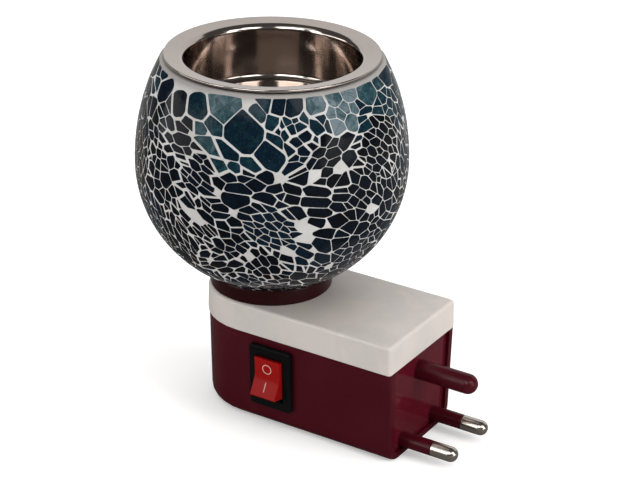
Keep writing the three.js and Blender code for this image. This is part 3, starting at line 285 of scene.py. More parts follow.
# %% Marble finish
def marble_plastic():
    material, tree, surface = start_material("marble plastic")
    place = object_place(tree)
    bend = clouds_at(tree, place, 45, 4).node.outputs["Color"]
    shift = add(tree, "VectorMath", {0: bend, 1: (0.03, 0.03, 0.03)}, operation="MULTIPLY").outputs[0]
    moved = add(tree, "VectorMath", {0: place, 1: shift}, operation="ADD").outputs[0]
    veins = clouds_at(tree, moved, 32, 6, Roughness=0.6)
    away = math_node(tree, "ABSOLUTE", math_node(tree, "SUBTRACT", veins, 0.5))
    vein = spread(tree, away, 0.0, 0.08, 0.4, 0)
    cloudy = spread(tree, clouds_at(tree, moved, 22, 3), 0.4, 0.65)
    base = mix_colours(tree, cloudy, (0.55, 0.50, 0.465), (0.52, 0.483, 0.454))
    veined = mix_colours(tree, vein, base, (0.44, 0.43, 0.42))
    marks = shared(tree, handled_surface, Grain=1800.0)
    dust = product(tree, marks["Dust"], 0.2)
    fill(tree, surface, {
        "Base Color": mix_colours(tree, dust, veined, (0.25, 0.2, 0.17)),
        "Roughness": spread(tree, marks["Smudge"], 0, 1, 0.34, 0.44),
        "Subsurface Weight": 0.12,
        "Subsurface Radius": (0.0012, 0.001, 0.0008),
    })
    bump(tree, surface, marks["Grain"], 0.004)
    return material


marble = marble_plastic()

# %% [markdown]
# ## Metals
#
# The cup is stainless steel spun on a lathe, so its gloss is drawn out by lines round its axis. Heat has
# browned the wall of its bowl. The pins are nickel plated and bright. Brass parts and screws are hidden,
# and get the same lines with other colours.

# %% Metal finishes
HEATED = (0.0984, 0.115)  # heights in metres between which the cup has browned
BROWNED_STEEL = (0.41, 0.348, 0.31)


def turned_metal(
    name, colour, dull, rough, rough_dull, fineness=4000.0, depth=0.003, along_x=False, heated=None,
):
    """Metal with lathe lines. Heated is a pair of heights between which its colour has browned."""
    material, tree, surface = start_material(name)
    lines = shared(tree, turned_lines, Fineness=fineness)
    if along_x:
        group = lines["Lines"].node
        turn = add(tree, "Mapping", {"Vector": object_place(tree), "Rotation": (0, math.radians(-90), 0)})
        tree.links.new(turn.outputs[0], group.inputs["Vector"])
    marks = shared(tree, handled_surface)
    tarnish = product(tree, marks["Smudge"], lines["Streaks"])
    body = mix_colours(tree, tarnish, colour, dull)
    if heated:
        height = add(tree, "SeparateXYZ", {0: object_place(tree)}).outputs[2]
        above = spread(tree, height, heated[0], heated[0] + 0.001)
        brown = product(tree, above, spread(tree, height, heated[1] - 0.003, heated[1], 1, 0))
        body = mix_colours(tree, brown, body, BROWNED_STEEL)
    worn = math_node(tree, "ADD", product(tree, tarnish, 0.5), product(tree, lines["Lines"], 0.4))
    roughness = spread(tree, worn, 0, 1, rough, rough_dull)
    fill(tree, surface, {"Base Color": body, "Roughness": roughness, "Metallic": 1})
    bump(tree, surface, lines["Lines"], depth)
    return material


steel = turned_metal("spun steel", (0.55, 0.485, 0.445), (0.52, 0.457, 0.42), 0.1, 0.15, heated=HEATED)
nickel = turned_metal("nickel plate", (0.64, 0.58, 0.52), (0.56, 0.50, 0.44), 0.17, 0.23, 2500.0, 0.001, True)
cap_metal = turned_metal("cap nickel", (0.66, 0.62, 0.56), (0.52, 0.47, 0.42), 0.18, 0.34)
brass = turned_metal("pressed brass", (0.62, 0.44, 0.19), (0.45, 0.29, 0.11), 0.22, 0.42)
zinc = turned_metal("zinc plate", (0.55, 0.55, 0.57), (0.42, 0.42, 0.45), 0.28, 0.45)

# %% [markdown]
# ## Glass
#
# The globe's wall and the bulb are clear glass: full transmission, with a little unevenness in the gloss.

# %% Clear glass
def clear_glass(name, colour, rough):
    material, tree, surface = start_material(name)
    marks = shared(tree, handled_surface, Smudge=90.0)
    stain = product(tree, marks["Smudge"], 0.3)
    fill(tree, surface, {
        "Base Color": mix_colours(tree, stain, colour, (0.8, 0.82, 0.8)),
        "Roughness": spread(tree, marks["Smudge"], 0, 1, rough, rough + 0.08),
        "Transmission Weight": 1,
        "IOR": 1.46,
    })
    bump(tree, surface, marks["Smudge"], 0.02, 0.3)
    return material


bowl_glass = clear_glass("bowl glass", (0.93, 0.96, 0.95), 0.03)
bulb_glass = clear_glass("bulb glass", (0.97, 0.97, 0.96), 0.01)

# %% [markdown]
# ## Grout and shards
#
# The grout is an off-white cement paste, matt, with a sandy grain and a little dirt rubbed into it. The
# shards are cracked coloured glass laid on dark paint. Each has one tone, kept on its faces as an
# attribute, and the tone picks a colour from nearly black, through navy and teal, to a pale slate where the
# paint is worn away. Mottling and fine scratches lie over that.

# %% Grout and shard finishes
def grout_finish():
    material, tree, surface = start_material("grout")
    marks = shared(tree, handled_surface, Grain=3200.0, Smudge=110.0)
    sand = clouds_at(tree, object_place(tree), 900, 8, Roughness=0.7)
    clean = mix_colours(tree, marks["Smudge"], (0.495, 0.488, 0.478), (0.43, 0.417, 0.40))
    # painted shade: the grout is painted darker towards the rim, under the flange, where the flange shades it
    height = add(tree, "SeparateXYZ", {0: object_place(tree)}).outputs[2]
    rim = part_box("mosaic_skin")[1][2]
    under_flange_shade = spread(tree, height, rim - 0.0022, rim - 0.0006, 0, 0.7)
    body = mix_colours(tree, under_flange_shade, clean, (0.22, 0.203, 0.188))
    dirt = spread(tree, sand, 0.55, 0.75, 0, 0.45)
    fill(tree, surface, {
        "Base Color": mix_colours(tree, dirt, body, (0.28, 0.257, 0.233)),
        "Roughness": spread(tree, sand, 0.3, 0.7, 0.6, 0.85),
    })
    bump(tree, surface, sand, 0.12, 0.6)
    return material


SHARD_TONES = [
    (0.00, (0.0022, 0.0030, 0.0042)),
    (0.28, (0.0028, 0.0060, 0.0120)),
    (0.46, (0.0028, 0.0105, 0.0190)),
    (0.64, (0.0052, 0.0230, 0.0320)),
    (0.80, (0.0280, 0.0640, 0.0740)),
    (1.00, (0.1200, 0.1550, 0.1750)),
]
FACETS = 210.0  # dark cracks inside a large shard, per metre


def shard_finish():
    material, tree, surface = start_material("mosaic glass")
    place = object_place(tree)
    tone = add(tree, "Attribute", attribute_name="tone", attribute_type="GEOMETRY").outputs["Fac"]
    mottle = clouds_at(tree, place, 420, 7, Roughness=0.62, Distortion=0.8)
    shade = math_node(tree, "ADD", tone, spread(tree, mottle, 0.3, 0.7, -0.13, 0.15))
    facets = add(tree, "TexVoronoi", {"Vector": place, "Scale": FACETS})
    facet_edge = add(tree, "TexVoronoi", {"Vector": place, "Scale": FACETS}, feature="DISTANCE_TO_EDGE")
    facet = add(tree, "SeparateColor", {0: facets.outputs["Color"]}).outputs[0]
    large = spread(tree, tone, 0.4, 0.5)
    turn = product(tree, spread(tree, facet, 0, 1, -0.09, 0.07), large)
    body = ramp(tree, math_node(tree, "ADD", shade, turn), SHARD_TONES)
    crack = product(tree, spread(tree, facet_edge.outputs["Distance"], 0.004, 0.022, 0.5, 0), large)
    body = mix_colours(tree, crack, body, (0.002, 0.004, 0.006))
    fleck = clouds_at(tree, place, 2600, 4, Roughness=0.7)
    stretch = add(tree, "Mapping", {"Vector": place, "Scale": (1, 1, 0.15), "Rotation": (0.6, 0.4, 0.9)})
    scratch = clouds_at(tree, stretch.outputs[0], 1500, 5)
    pale = product(tree, spread(tree, fleck, 0.6, 0.74), spread(tree, tone, 0.1, 0.8, 0.03, 0.6))
    lined = product(tree, spread(tree, scratch, 0.62, 0.72), spread(tree, tone, 0.5, 1, 0, 0.6))
    specks = math_node(tree, "MAXIMUM", pale, lined)
    fill(tree, surface, {
        "Base Color": mix_colours(tree, specks, body, (0.17, 0.25, 0.27)),
        "Roughness": spread(tree, mottle, 0.3, 0.75, 0.06, 0.16),
        "Specular IOR Level": 0.07,
    })
    height = math_node(tree, "ADD", mottle, product(tree, scratch, 0.35))
    bump(tree, surface, height, 0.12, 0.3)
    return material


grout = grout_finish()
mosaic_glass = shard_finish()
print(len(bpy.data.materials), "finishes in all")

# %% [markdown]
# ## Stage and light
#
# A plain pale floor carries the burner. The light is what a small product studio has. Two wide boxes, over
# the table and to the right, only fill. Smaller ones stand in front, on both sides and low down, and a pale
# wall of light stands behind, which shows in the steel. Two more show only in gloss, as the bright patches
# in the cup. Nothing is hard, so the shadows are faint.

# %% Floor
GLOSS_SHADE_MIDDLE, GLOSS_SHADE_HALF = math.radians(-112), math.radians(48)  # the side of the burner where the floor is painted dark in gloss, as painted reflection


def stage_finish():
    """A pale floor. Only in gloss it is painted dark near the burner and in front of it: a painted reflection in
    place of dark cards.
    """
    material, tree, surface = start_material("pale floor")
    place = object_place(tree)
    clouds = clouds_at(tree, place, 3, 3)
    pale = mix_colours(tree, clouds, (0.90, 0.90, 0.90), (0.93, 0.93, 0.93))
    x, y, _ = add(tree, "SeparateXYZ", {0: place}).outputs
    round_it = math_node(tree, "ARCTAN2", y, x)
    away = math_node(tree, "ABSOLUTE", math_node(tree, "SUBTRACT", round_it, GLOSS_SHADE_MIDDLE))
    far = spread(tree, add(tree, "VectorMath", {0: place}, operation="LENGTH").outputs["Value"], 0.06, 0.3)
    open_side = product(tree, far, spread(tree, away, GLOSS_SHADE_HALF, GLOSS_SHADE_HALF + 0.5))
    gloss_shade_colour = mix_colours(tree, open_side, (0.13, 0.127, 0.122), (0.42, 0.41, 0.4))
    rays = add(tree, "LightPath").outputs
    fill(tree, surface, {
        "Base Color": mix_colours(tree, rays["Is Glossy Ray"], pale, gloss_shade_colour),
        "Roughness": spread(tree, clouds, 0, 1, 0.85, 0.9),
        "Specular IOR Level": 0.0,
        "Emission Color": (1, 1, 1, 1),
        "Emission Strength": spread(tree, rays["Is Camera Ray"], 0, 1, 0, 0.26),
    })
    return material


def make_floor(size):
    bm = bmesh.new()
    bmesh.ops.create_grid(bm, x_segments=1, y_segments=1, size=size)
    mesh = bpy.data.meshes.new("floor")
    bm.to_mesh(mesh)
    bm.free()
    mesh.materials.append(stage_finish())
    floor = bpy.data.objects.new("floor", mesh)
    bpy.context.scene.collection.objects.link(floor)


make_floor(4)

# %% Lights
def soft_box(name, place, aim, width, height, watts, fills=True, mirrored=True):
    """A rectangular light. Some only fill, and show in no gloss, and some show only in gloss, as glints."""
    data = bpy.data.lights.new(name, "AREA")
    data.shape = "RECTANGLE"
    data.size, data.size_y = width, height
    data.energy = watts
    light = bpy.data.objects.new(name, data)
    light.visible_diffuse, light.visible_glossy = fills, mirrored
    light.location = place
    light.rotation_euler = (Vector(aim) - Vector(place)).to_track_quat("-Z", "Y").to_euler()
    bpy.context.scene.collection.objects.link(light)


MIDDLE, CUP_MOUTH = (0.02, 0, 0.06), (0, 0, 0.107)
soft_box("overhead fill", (0.15, 0.0, 1.2), MIDDLE, 1.2, 1.2, 5.1, mirrored=False)
soft_box("right fill", (0.95, 0.06, 0.52), MIDDLE, 0.5, 0.5, 3.7, mirrored=False)
soft_box("front box", (-0.12, -0.85, 1.15), MIDDLE, 1.0, 0.5, 1.4)
soft_box("left box", (-0.42, -0.86, 0.45), MIDDLE, 0.26, 0.6, 1.7)
soft_box("right box", (0.95, -0.03, 0.45), MIDDLE, 0.26, 0.6, 1.8)
soft_box("low left box", (-0.8, -0.6, 0.16), MIDDLE, 0.8, 0.36, 2.3)
soft_box("low right box", (0.95, -0.05, 0.1), MIDDLE, 0.6, 0.18, 0.9)
soft_box("back wall", (-0.45, 1.3, 0.75), MIDDLE, 3.6, 1.3, 10.0)
soft_box("left glint", (0.128, -0.911, 0.74), CUP_MOUTH, 0.63, 0.42, 4.6, fills=False)
soft_box("right glint", (0.834, -0.389, 0.74), CUP_MOUTH, 0.42, 0.42, 3.1, fills=False)

world = bpy.data.worlds.new("studio")
world.use_nodes = True
bpy.context.scene.world = world
background = world.node_tree.nodes["Background"]
background.inputs["Color"].default_value = (1.0, 0.985, 0.97, 1)
in_gloss = add(world.node_tree, "LightPath").outputs["Is Glossy Ray"]
room_light = spread(world.node_tree, in_gloss, 0, 1, 0.52, 0.08)
world.node_tree.links.new(room_light, background.inputs["Strength"])
bpy.context.scene.view_settings.view_transform = "Standard"

# %% [markdown]
# ## From a bmesh to a piece
#
# Shapes are made in millimetres. This helper brings one to metres, makes it a mesh with smooth faces and sharp
# edges where they should be, gives it its finish, hangs it on an empty for the body that it rides on, and hides
# the CAD nodes that it stands for.

# %% Finish a piece
def add_piece(name, bm, material, body, stands_for=(), sharp=32):
    bmesh.ops.scale(bm, vec=(MM, MM, MM), verts=bm.verts)
    mesh = bpy.data.meshes.new(name)
    bm.to_mesh(mesh)
    bm.free()
    mesh.shade_smooth()
    mesh.set_sharp_from_angle(angle=math.radians(sharp))
    mesh.materials.append(material)
    piece = bpy.data.objects.new(name, mesh)
    bpy.context.scene.collection.objects.link(piece)
    even = piece.modifiers.new("even shading", "WEIGHTED_NORMAL")
    even.keep_sharp = True
    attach(piece, body)
    if stands_for:
        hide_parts(*stands_for)
    print(f"{name}: {sum(len(face.vertices) - 2 for face in mesh.polygons)} triangles")
    return piece


# %% [markdown]
# ## Turned shapes
#
# Cup, collar, pins, bowl and bulb are all turned. A half section is drawn as a few corners, each with the
# radius that rounds it, and spun once round the axis. The ring of points left on the axis is merged to one
# pole.

# %% Half sections, spinning and bevels
def bevel(bm, geom, offset, segments, affect="EDGES", clamp=False):
    bmesh.ops.bevel(
        bm, geom=geom, offset=offset, affect=affect, segments=segments, profile=0.5, material=-1,
        clamp_overlap=clamp,
    )


def rounded(corners, closed=False, step=12):
    """Points of a line through corners (across, up, radius), with each corner rounded by its radius."""
    points = []
    count = len(corners)
    for i, (x, y, radius) in enumerate(corners):
        here = Vector((x, y))
        if radius == 0 or (not closed and i in (0, count - 1)):
            points.append(here)
            continue
        before = (Vector(corners[i - 1][:2]) - here).normalized()
        after = (Vector(corners[(i + 1) % count][:2]) - here).normalized()
        half = before.angle(after) / 2
        centre = here + (before + after).normalized() * radius / math.sin(half)
        start = here + before * radius / math.tan(half) - centre
        end = here + after * radius / math.tan(half) - centre
        turn = start.angle_signed(end)
        steps = max(1, math.ceil(abs(math.degrees(turn)) / step))
        for k in range(steps + 1):
            points.append(centre + Matrix.Rotation(-turn * k / steps, 2) @ start)
    return [(p.x, p.y) for p in points]


def turned(section, steps, closed=False, along_x=False):
    """Spins a half section of (radius, height) round the Z axis, or round X if the height runs along it."""
    bm = bmesh.new()
    verts = [bm.verts.new((radius, 0, height)) for radius, height in section]
    ends = verts[1:] + verts[:1] if closed else verts[1:]
    edges = [bm.edges.new(pair) for pair in zip(verts, ends)]
    bmesh.ops.spin(
        bm, geom=verts + edges, cent=(0, 0, 0), axis=(0, 0, 1), dvec=(0, 0, 0), angle=math.tau, steps=steps,
        use_merge=True, use_normal_flip=False, use_duplicate=False,
    )
    bmesh.ops.remove_doubles(bm, verts=bm.verts, dist=1e-4)
    if along_x:
        bmesh.ops.rotate(bm, verts=bm.verts, cent=(0, 0, 0), matrix=Matrix.Rotation(math.pi / 2, 3, "Y"))
    bmesh.ops.recalc_face_normals(bm, faces=bm.faces)
    return bm


# %% [markdown]
# ## Camphor cup
#
# The cup is one sheet of steel, drawn down into the globe's mouth and spun out to a wide flange. Its inner
# lip is rounded, the flange climbs a little towards its rim, and the floor has a shallow round step and
# rises a little towards the wall. The half section has both faces of the sheet, so its real thickness shows
# at the rim.

# %% Cup
CUP_BORE, CUP_WALL, CUP_RIM = 26.6, 27.4, 32.8
cup_section = rounded([
    (0, 97.1, 0), (14.4, 97.1, 0.7), (15.2, 97.6, 0.7), (CUP_BORE, 98.0, 1.6), (CUP_BORE, 115.2, 2.0),
    (CUP_RIM, 116.1, 0.3), (CUP_RIM, 115.3, 0.3), (CUP_WALL, 114.4, 0.7), (CUP_WALL, 97.2, 2.2),
    (15.5, 96.8, 0.7), (14.7, 96.3, 0.7), (0, 96.3, 0),
])
add_piece("cup", turned(cup_section, 128), steel, "cup", ["camphor_cup"], sharp=60)

# %% [markdown]
# ## The globe's surface
#
# The globe is two half ellipsoids that meet at the waist: the upper one is taller. Everything on it is
# placed by an angle round the axis and a height, and depths are measured inwards from the outermost
# surface.

# %% Places on the globe
WAIST_Z, WAIST_RADIUS = 81.5, 42.2
LOWER_HALF, UPPER_HALF = 40.82, 55.64
FOOT_Z, RIM_Z = 45.7, 114.6
GLASS_FOOT_Z, GLASS_RIM_Z = 46.0, 114.1
CENTRE = np.array([0, 0, WAIST_Z])


def globe_radius(z, depth=0.0):
    share = (z - WAIST_Z) / ((LOWER_HALF if z < WAIST_Z else UPPER_HALF) - depth)
    return (WAIST_RADIUS - depth) * math.sqrt(max(0.0, 1 - share * share))


def globe_line(low, high, depth, steps):
    """Half section of the globe between two heights, closer together towards its ends."""
    heights = (low + (high - low) * (0.5 - 0.5 * math.cos(math.pi * i / steps)) for i in range(steps + 1))
    return [(globe_radius(z, depth), z) for z in heights]


def on_globe(angle, z, depth=0.0):
    radius = globe_radius(z, depth)
    return np.array([radius * math.cos(angle), radius * math.sin(angle), z])


def half_axes(points, depth=0.0):
    tall = np.where(points[..., 2] < WAIST_Z, LOWER_HALF, UPPER_HALF) - depth
    wide = np.full_like(tall, WAIST_RADIUS - depth)
    return np.stack([wide, wide, tall], -1)


def outward(point):
    normal = (point - CENTRE) / half_axes(point) ** 2
    return normal / np.linalg.norm(normal)


def at_depth(point, depth):
    """Moves a point in or out, on the ray from the globe's middle, to a depth under its surface."""
    ray = np.asarray(point) - CENTRE
    return CENTRE + ray / np.linalg.norm(ray / half_axes(np.asarray(point), depth))


print("globe radius at its foot and rim", round(globe_radius(FOOT_Z), 2), round(globe_radius(RIM_Z), 2))

# %% [markdown]
# ## Bowl
#
# Under the mosaic is a clear glass bowl, open at both ends. It is only seen from inside, when the cup is
# lifted out, but it lets light through to the back of the shards.

# %% Glass bowl
BOWL_HOLE = 13.3
outer_wall = globe_line(GLASS_FOOT_Z, GLASS_RIM_Z, 2.3, 40)
inner_foot = WAIST_Z - (LOWER_HALF - 4.8) * math.sqrt(1 - (BOWL_HOLE / (WAIST_RADIUS - 4.8)) ** 2)
inner_wall = globe_line(inner_foot, GLASS_RIM_Z, 4.8, 40)
bowl_section = [(BOWL_HOLE, GLASS_FOOT_Z)] + outer_wall + inner_wall[::-1]
bowl = turned(bowl_section, 96, closed=True)
add_piece("bowl", bowl, bowl_glass, "base", ["glass_bowl"])

# %% [markdown]
# ## Grout
#
# The grout is a skin round the bowl. Pressed on by hand, it isn't quite even, so a slow noise pushes its
# outside in and out by a tenth of a millimetre. At the mouth it ends in a rounded shoulder that shows under
# the flange.

# %% Grout skin
SHARD_TOP, SHARD_FOOT, GROUT_DEPTH, SKIN_DEPTH = 0.17, 0.8, 0.25, 2.0


def make_grout():
    outside = globe_line(FOOT_Z, RIM_Z - 0.8, GROUT_DEPTH, 84)
    edge = globe_radius(RIM_Z, GROUT_DEPTH)
    inside = globe_line(FOOT_Z, RIM_Z, SKIN_DEPTH, 24)
    section = outside + [(edge - 0.25, RIM_Z - 0.25), (edge - 0.8, RIM_Z)] + inside[::-1]
    bm = turned(section, 180, closed=True)
    for vert in bm.verts:
        depth = WAIST_RADIUS - math.hypot(vert.co.x, vert.co.y) - (WAIST_RADIUS - globe_radius(vert.co.z))
        if abs(depth - GROUT_DEPTH) < 0.05 and FOOT_Z + 1 < vert.co.z < RIM_Z - 2:
            uneven = 0.008 * noise.noise(vert.co * 0.35) + 0.006 * noise.noise(vert.co * 1.1)
            vert.co = at_depth(vert.co, GROUT_DEPTH + uneven)
    return bm


add_piece("grout_skin", make_grout(), grout, "base", ["mosaic_skin"])

# %% [markdown]
# ## Mosaic
#
# The mosaic is made of tiles about as wide as a thumb, each of which cracked into shards as it was pressed
# on, and was pulled a little apart. Round the mouth are smaller tiles that stayed whole. So there are two
# levels: the globe is shared out among tiles with a wide joint between them, and each tile among its shards
# with a hairline between them. Both levels use the rule that soap bubbles and dried mud share: a place
# belongs to the nearest seed. A bigger tile's seed reaches further.
#
# The seeds come from a fixed random sequence. A few tiles that give the burner its face, the large teal ones at
# the mouth and the bare patches of grout, are listed one by one.

# %% Tiles listed one by one, as angle, height, half width, pitch of its shards and tone
WHOLE = 0.0  # pitch of a tile that didn't crack
BIG_TILES = [
    (-93.5, 109.0, 3.3, WHOLE, 0.58), (-79.1, 110.4, 4.6, WHOLE, 0.84), (-84.6, 103.6, 4.2, 4.8, 0.68),
    (-69.6, 105.0, 6.6, WHOLE, 0.47), (-57.9, 109.4, 3.4, 4.2, 0.46), (-53.4, 112.2, 2.6, WHOLE, 0.36),
    (-47.0, 111.6, 3.2, WHOLE, 0.34), (-48.6, 107.4, 3.4, 3.6, 0.48), (-53.4, 103.6, 3.7, 4.4, 0.40),
    (-56.8, 99.4, 4.4, WHOLE, 0.44), (-35.9, 111.6, 3.4, WHOLE, 0.88), (-38.6, 107.0, 3.9, 4.2, 0.50),
    (-23.0, 109.6, 5.2, 5.0, 0.92), (-45.0, 102.6, 3.1, 3.2, 0.32), (-5.5, 111.0, 3.6, WHOLE, 0.74),
    (-12.0, 105.6, 3.6, 3.4, 0.50), (5.5, 107.6, 3.7, 3.4, 0.60), (-104.5, 108.0, 3.2, WHOLE, 0.10),
    (-112.0, 104.0, 4.0, 3.4, 0.12), (-75.5, 96.5, 4.2, 4.2, 0.58), (-119.0, 110.0, 3.4, WHOLE, 0.24),
]
BARE_PATCHES = [
    (-91.5, 102.8, 1.4), (-40.2, 92.9, 1.5), (-29.6, 93.4, 1.9), (-68.5, 76.8, 1.3), (-67.0, 72.0, 1.3),
    (-65.8, 67.0, 1.3), (-65.5, 62.9, 1.6), (-42.9, 74.9, 2.3), (-52.0, 68.0, 1.3), (-53.5, 64.5, 1.2),
    (-9.8, 78.1, 1.2), (-98.5, 83.5, 1.2), (-59.4, 57.9, 1.5), (-94.0, 80.5, 1.4), (-88.5, 78.2, 1.3),
    (-83.5, 76.0, 1.1), (-63.6, 114.2, 2.6), (-73.0, 114.4, 2.2), (21.8, 112.4, 2.2), (22.1, 107.4, 1.5),
    (-124.0, 110.4, 1.7), (-118.5, 95.5, 1.4), (-28.0, 60.0, 1.4), (-85.0, 60.0, 1.4), (-36.0, 64.5, 1.1),
    (40.0, 84.0, 1.8), (118.0, 93.0, 2.0), (165.0, 72.0, 1.9), (205.0, 98.0, 1.6), (75.0, 66.0, 1.9),
    (20.0, 62.0, 1.5),
]
print(len(BIG_TILES), "tiles and", len(BARE_PATCHES), "bare patches placed by hand")

# %% Tiles
chance = np.random.default_rng(7)


def surface_samples(count):
    """Random places spread evenly over the globe's area."""
    found = []
    while len(found) < count:
        z = chance.uniform(FOOT_Z + 1.0, RIM_Z - 1.2)
        slope = (globe_radius(z + 0.01) - globe_radius(z - 0.01)) / 0.02
        if chance.uniform(0, 60) < globe_radius(z) * math.hypot(1, slope):
            found.append(on_globe(chance.uniform(0, math.tau), z))
    return np.array(found)


def tile_for(z):
    """Half width of a tile at a height, the pitch of its shards, and its tone."""
    if z > 104:
        half, pitch = chance.uniform(3.4, 5.4), chance.choice([WHOLE, WHOLE, 3.8])
        return half, pitch, chance.choice([0.1, 0.3, 0.5, 0.7])
    if z > 97:
        return chance.uniform(5.0, 7.4), chance.uniform(3.3, 5.0), chance.choice([0.08, 0.2, 0.36, 0.55])
    if z > 64:
        return chance.uniform(6.0, 10.5), chance.uniform(2.5, 4.3), chance.choice([0.02, 0.08, 0.16, 0.32])
    return chance.uniform(5.0, 8.0), chance.uniform(3.6, 5.6), chance.choice([0.0, 0.06, 0.14, 0.3])


def choose_tiles(samples):
    tiles = [
        dict(seed=on_globe(math.radians(angle), z), half=half, pitch=pitch, tone=tone)
        for angle, z, half, pitch, tone in BIG_TILES
    ]
    for place in samples:
        half, pitch, tone = tile_for(place[2])
        gaps = [np.linalg.norm(place - tile["seed"]) - 0.8 * (half + tile["half"]) for tile in tiles]
        if min(gaps) > 0:
            tiles.append(dict(seed=place, half=half, pitch=pitch, tone=tone))
    for tile in tiles:
        tile["joint"] = 0.12 + 0.45 * chance.uniform() ** 3
    return tiles


samples = surface_samples(26000)
tiles = choose_tiles(samples[:6000])
tile_seeds = np.array([tile["seed"] for tile in tiles])
tile_halves = np.array([tile["half"] for tile in tiles])
owner = (((samples[:, None] - tile_seeds) ** 2).sum(-1) - tile_halves ** 2).argmin(1)
print(len(tiles), "tiles")

# %% [markdown]
# A tile's cracks often run one way, so its shards are long in one direction. Distances inside a tile are
# therefore measured with that direction shortened. Seeds are dropped one by one where no other seed is
# near.

# %% Shard seeds
def crack_metric(seed, longest):
    """Matrix that measures distances in a tile as if it were squeezed along one direction."""
    normal = outward(seed)
    level = np.cross([0, 0, 1], normal)
    level /= np.linalg.norm(level)
    angle = chance.normal(-0.7, 0.6)
    along = math.cos(angle) * level + math.sin(angle) * np.cross(normal, level)
    return np.eye(3) - (1 - 1 / chance.uniform(1.0, longest) ** 2) * np.outer(along, along)


def shards_of(number):
    """The shards of one tile: seed, room round it, metric, tone and tile."""
    tile = tiles[number]
    metric = crack_metric(tile["seed"], 1.5 if tile["pitch"] == WHOLE else 2.9)
    if tile["pitch"] == WHOLE:
        return [dict(seed=tile["seed"], room=tile["half"], metric=metric, tone=tile["tone"], tile=number)]
    shards = []
    for place in samples[owner == number]:
        room = tile["pitch"] * chance.uniform(0.16, 0.6)
        away = [place - other["seed"] for other in shards]
        if all(d @ metric @ d > (room + other["room"]) ** 2 for d, other in zip(away, shards)):
            tone = tile["tone"] + chance.normal(0, 0.045)
            shards.append(dict(seed=place, room=room, metric=metric, tone=tone, tile=number))
    return shards


shards = [shard for number in range(len(tiles)) for shard in shards_of(number)]
shard_seeds = np.array([shard["seed"] for shard in shards])
shard_rooms = np.array([shard["room"] for shard in shards])
print(len(shards), "shards")

# %% [markdown]
# One shard is a disc laid on the globe at its seed, cut by a plane towards each neighbour. The cuts lean a
# little, so that the joints are uneven. Its corners are nipped, it is pushed up into a plate with a
# chamfered edge, and its top is bowed to the globe's curve. A shard is a few dozen faces, closed all round,
# with its foot in the grout.

# %% Cut and raise one shard
HAIRLINE = (0.06, 0.14)  # half width of the gap between two shards of a tile, in front above the waist
FRONT_ANGLE = math.radians(-50)
FRONT = np.array([math.cos(FRONT_ANGLE), math.sin(FRONT_ANGLE), 0])
SPARE, DEEPEST = 0.015, 0.035  # how far a shard lies under its top height, and the most that a tilted corner does
CHAMFER_WIDTH, CHAMFER_DEPTH = 0.08, 0.04
LONGEST_EDGE = 3.2
SMALLEST = 0.6  # area of the smallest shard that is laid


def lay_disc(bm, seed, radius):
    lay = Vector(outward(seed)).to_track_quat("Z", "Y").to_matrix().to_4x4()
    lay.translation = Vector(seed)
    bmesh.ops.create_circle(bm, cap_ends=True, radius=radius, segments=12, matrix=lay)


def cut_away(bm, place, direction):
    if bm.faces:
        everything = bm.verts[:] + bm.edges[:] + bm.faces[:]
        bmesh.ops.bisect_plane(bm, geom=everything, plane_co=place, plane_no=direction, clear_outer=True)


def cut_shard(number):
    """The outline of a shard as one face, cut free of its neighbours and of both ends of the globe.

    The gaps are wider below the waist and away from the front.
    """
    shard = shards[number]
    seed, room = shard["seed"], shard["room"]
    bm = bmesh.new()
    in_front = seed @ FRONT / np.linalg.norm(seed[:2])
    spread_apart = max(np.interp(seed[2], (76, 86), (1.2, 1)), np.interp(in_front, (0.45, 0.75), (1.5, 1)))
    disc = 1.6 * room if tiles[shard["tile"]]["pitch"] == WHOLE else 2.6 * room + 1.2
    lay_disc(bm, seed, disc)
    d = shard_seeds - seed
    reach = np.einsum("ij,ij->i", d, d) - shard_rooms ** 2
    for other in np.argsort(reach)[:80]:
        if other == number:
            continue
        near = shards[other]
        direction = (shard["metric"] + near["metric"]) @ d[other]
        direction += chance.normal(0, 0.02) * np.cross(outward(seed), direction)
        direction /= np.linalg.norm(direction)
        low, high = np.multiply(HAIRLINE, spread_apart)
        if near["tile"] != shard["tile"]:
            high = max(tiles[near["tile"]]["joint"], tiles[shard["tile"]]["joint"])
            low = 0.6 * high
        share = 0.5 + 0.8 * (room ** 2 - near["room"] ** 2) / (2 * d[other] @ d[other])
        share = min(0.75, max(0.25, share))
        if share * abs(d[other] @ direction) > disc:
            continue
        cut_away(bm, seed + d[other] * share - direction * chance.uniform(low, high), direction)
    cut_away(bm, (0, 0, FOOT_Z + 0.3), (0, 0, -1))
    cut_away(bm, (0, 0, RIM_Z - 0.45), (0, 0, 1))
    bmesh.ops.remove_doubles(bm, verts=bm.verts, dist=0.1)
    return bm


def split_long_edges(bm):
    """Adds points to edges that are too straight to follow the globe's curve."""
    for edge in bm.edges[:]:
        cuts = int(edge.calc_length() / LONGEST_EDGE)
        if cuts:
            bmesh.ops.subdivide_edges(bm, edges=[edge], cuts=cuts)


def ring_inside(bm, top, share_of):
    """Adds a ring of faces inside the top face. Each corner keeps a share of its arm from the middle."""
    bmesh.ops.inset_individual(bm, faces=[top], thickness=0.0, depth=0.0)
    middle = top.calc_center_median()
    for vert in top.verts:
        arm = vert.co - middle
        vert.co = middle + arm * share_of(arm.length)


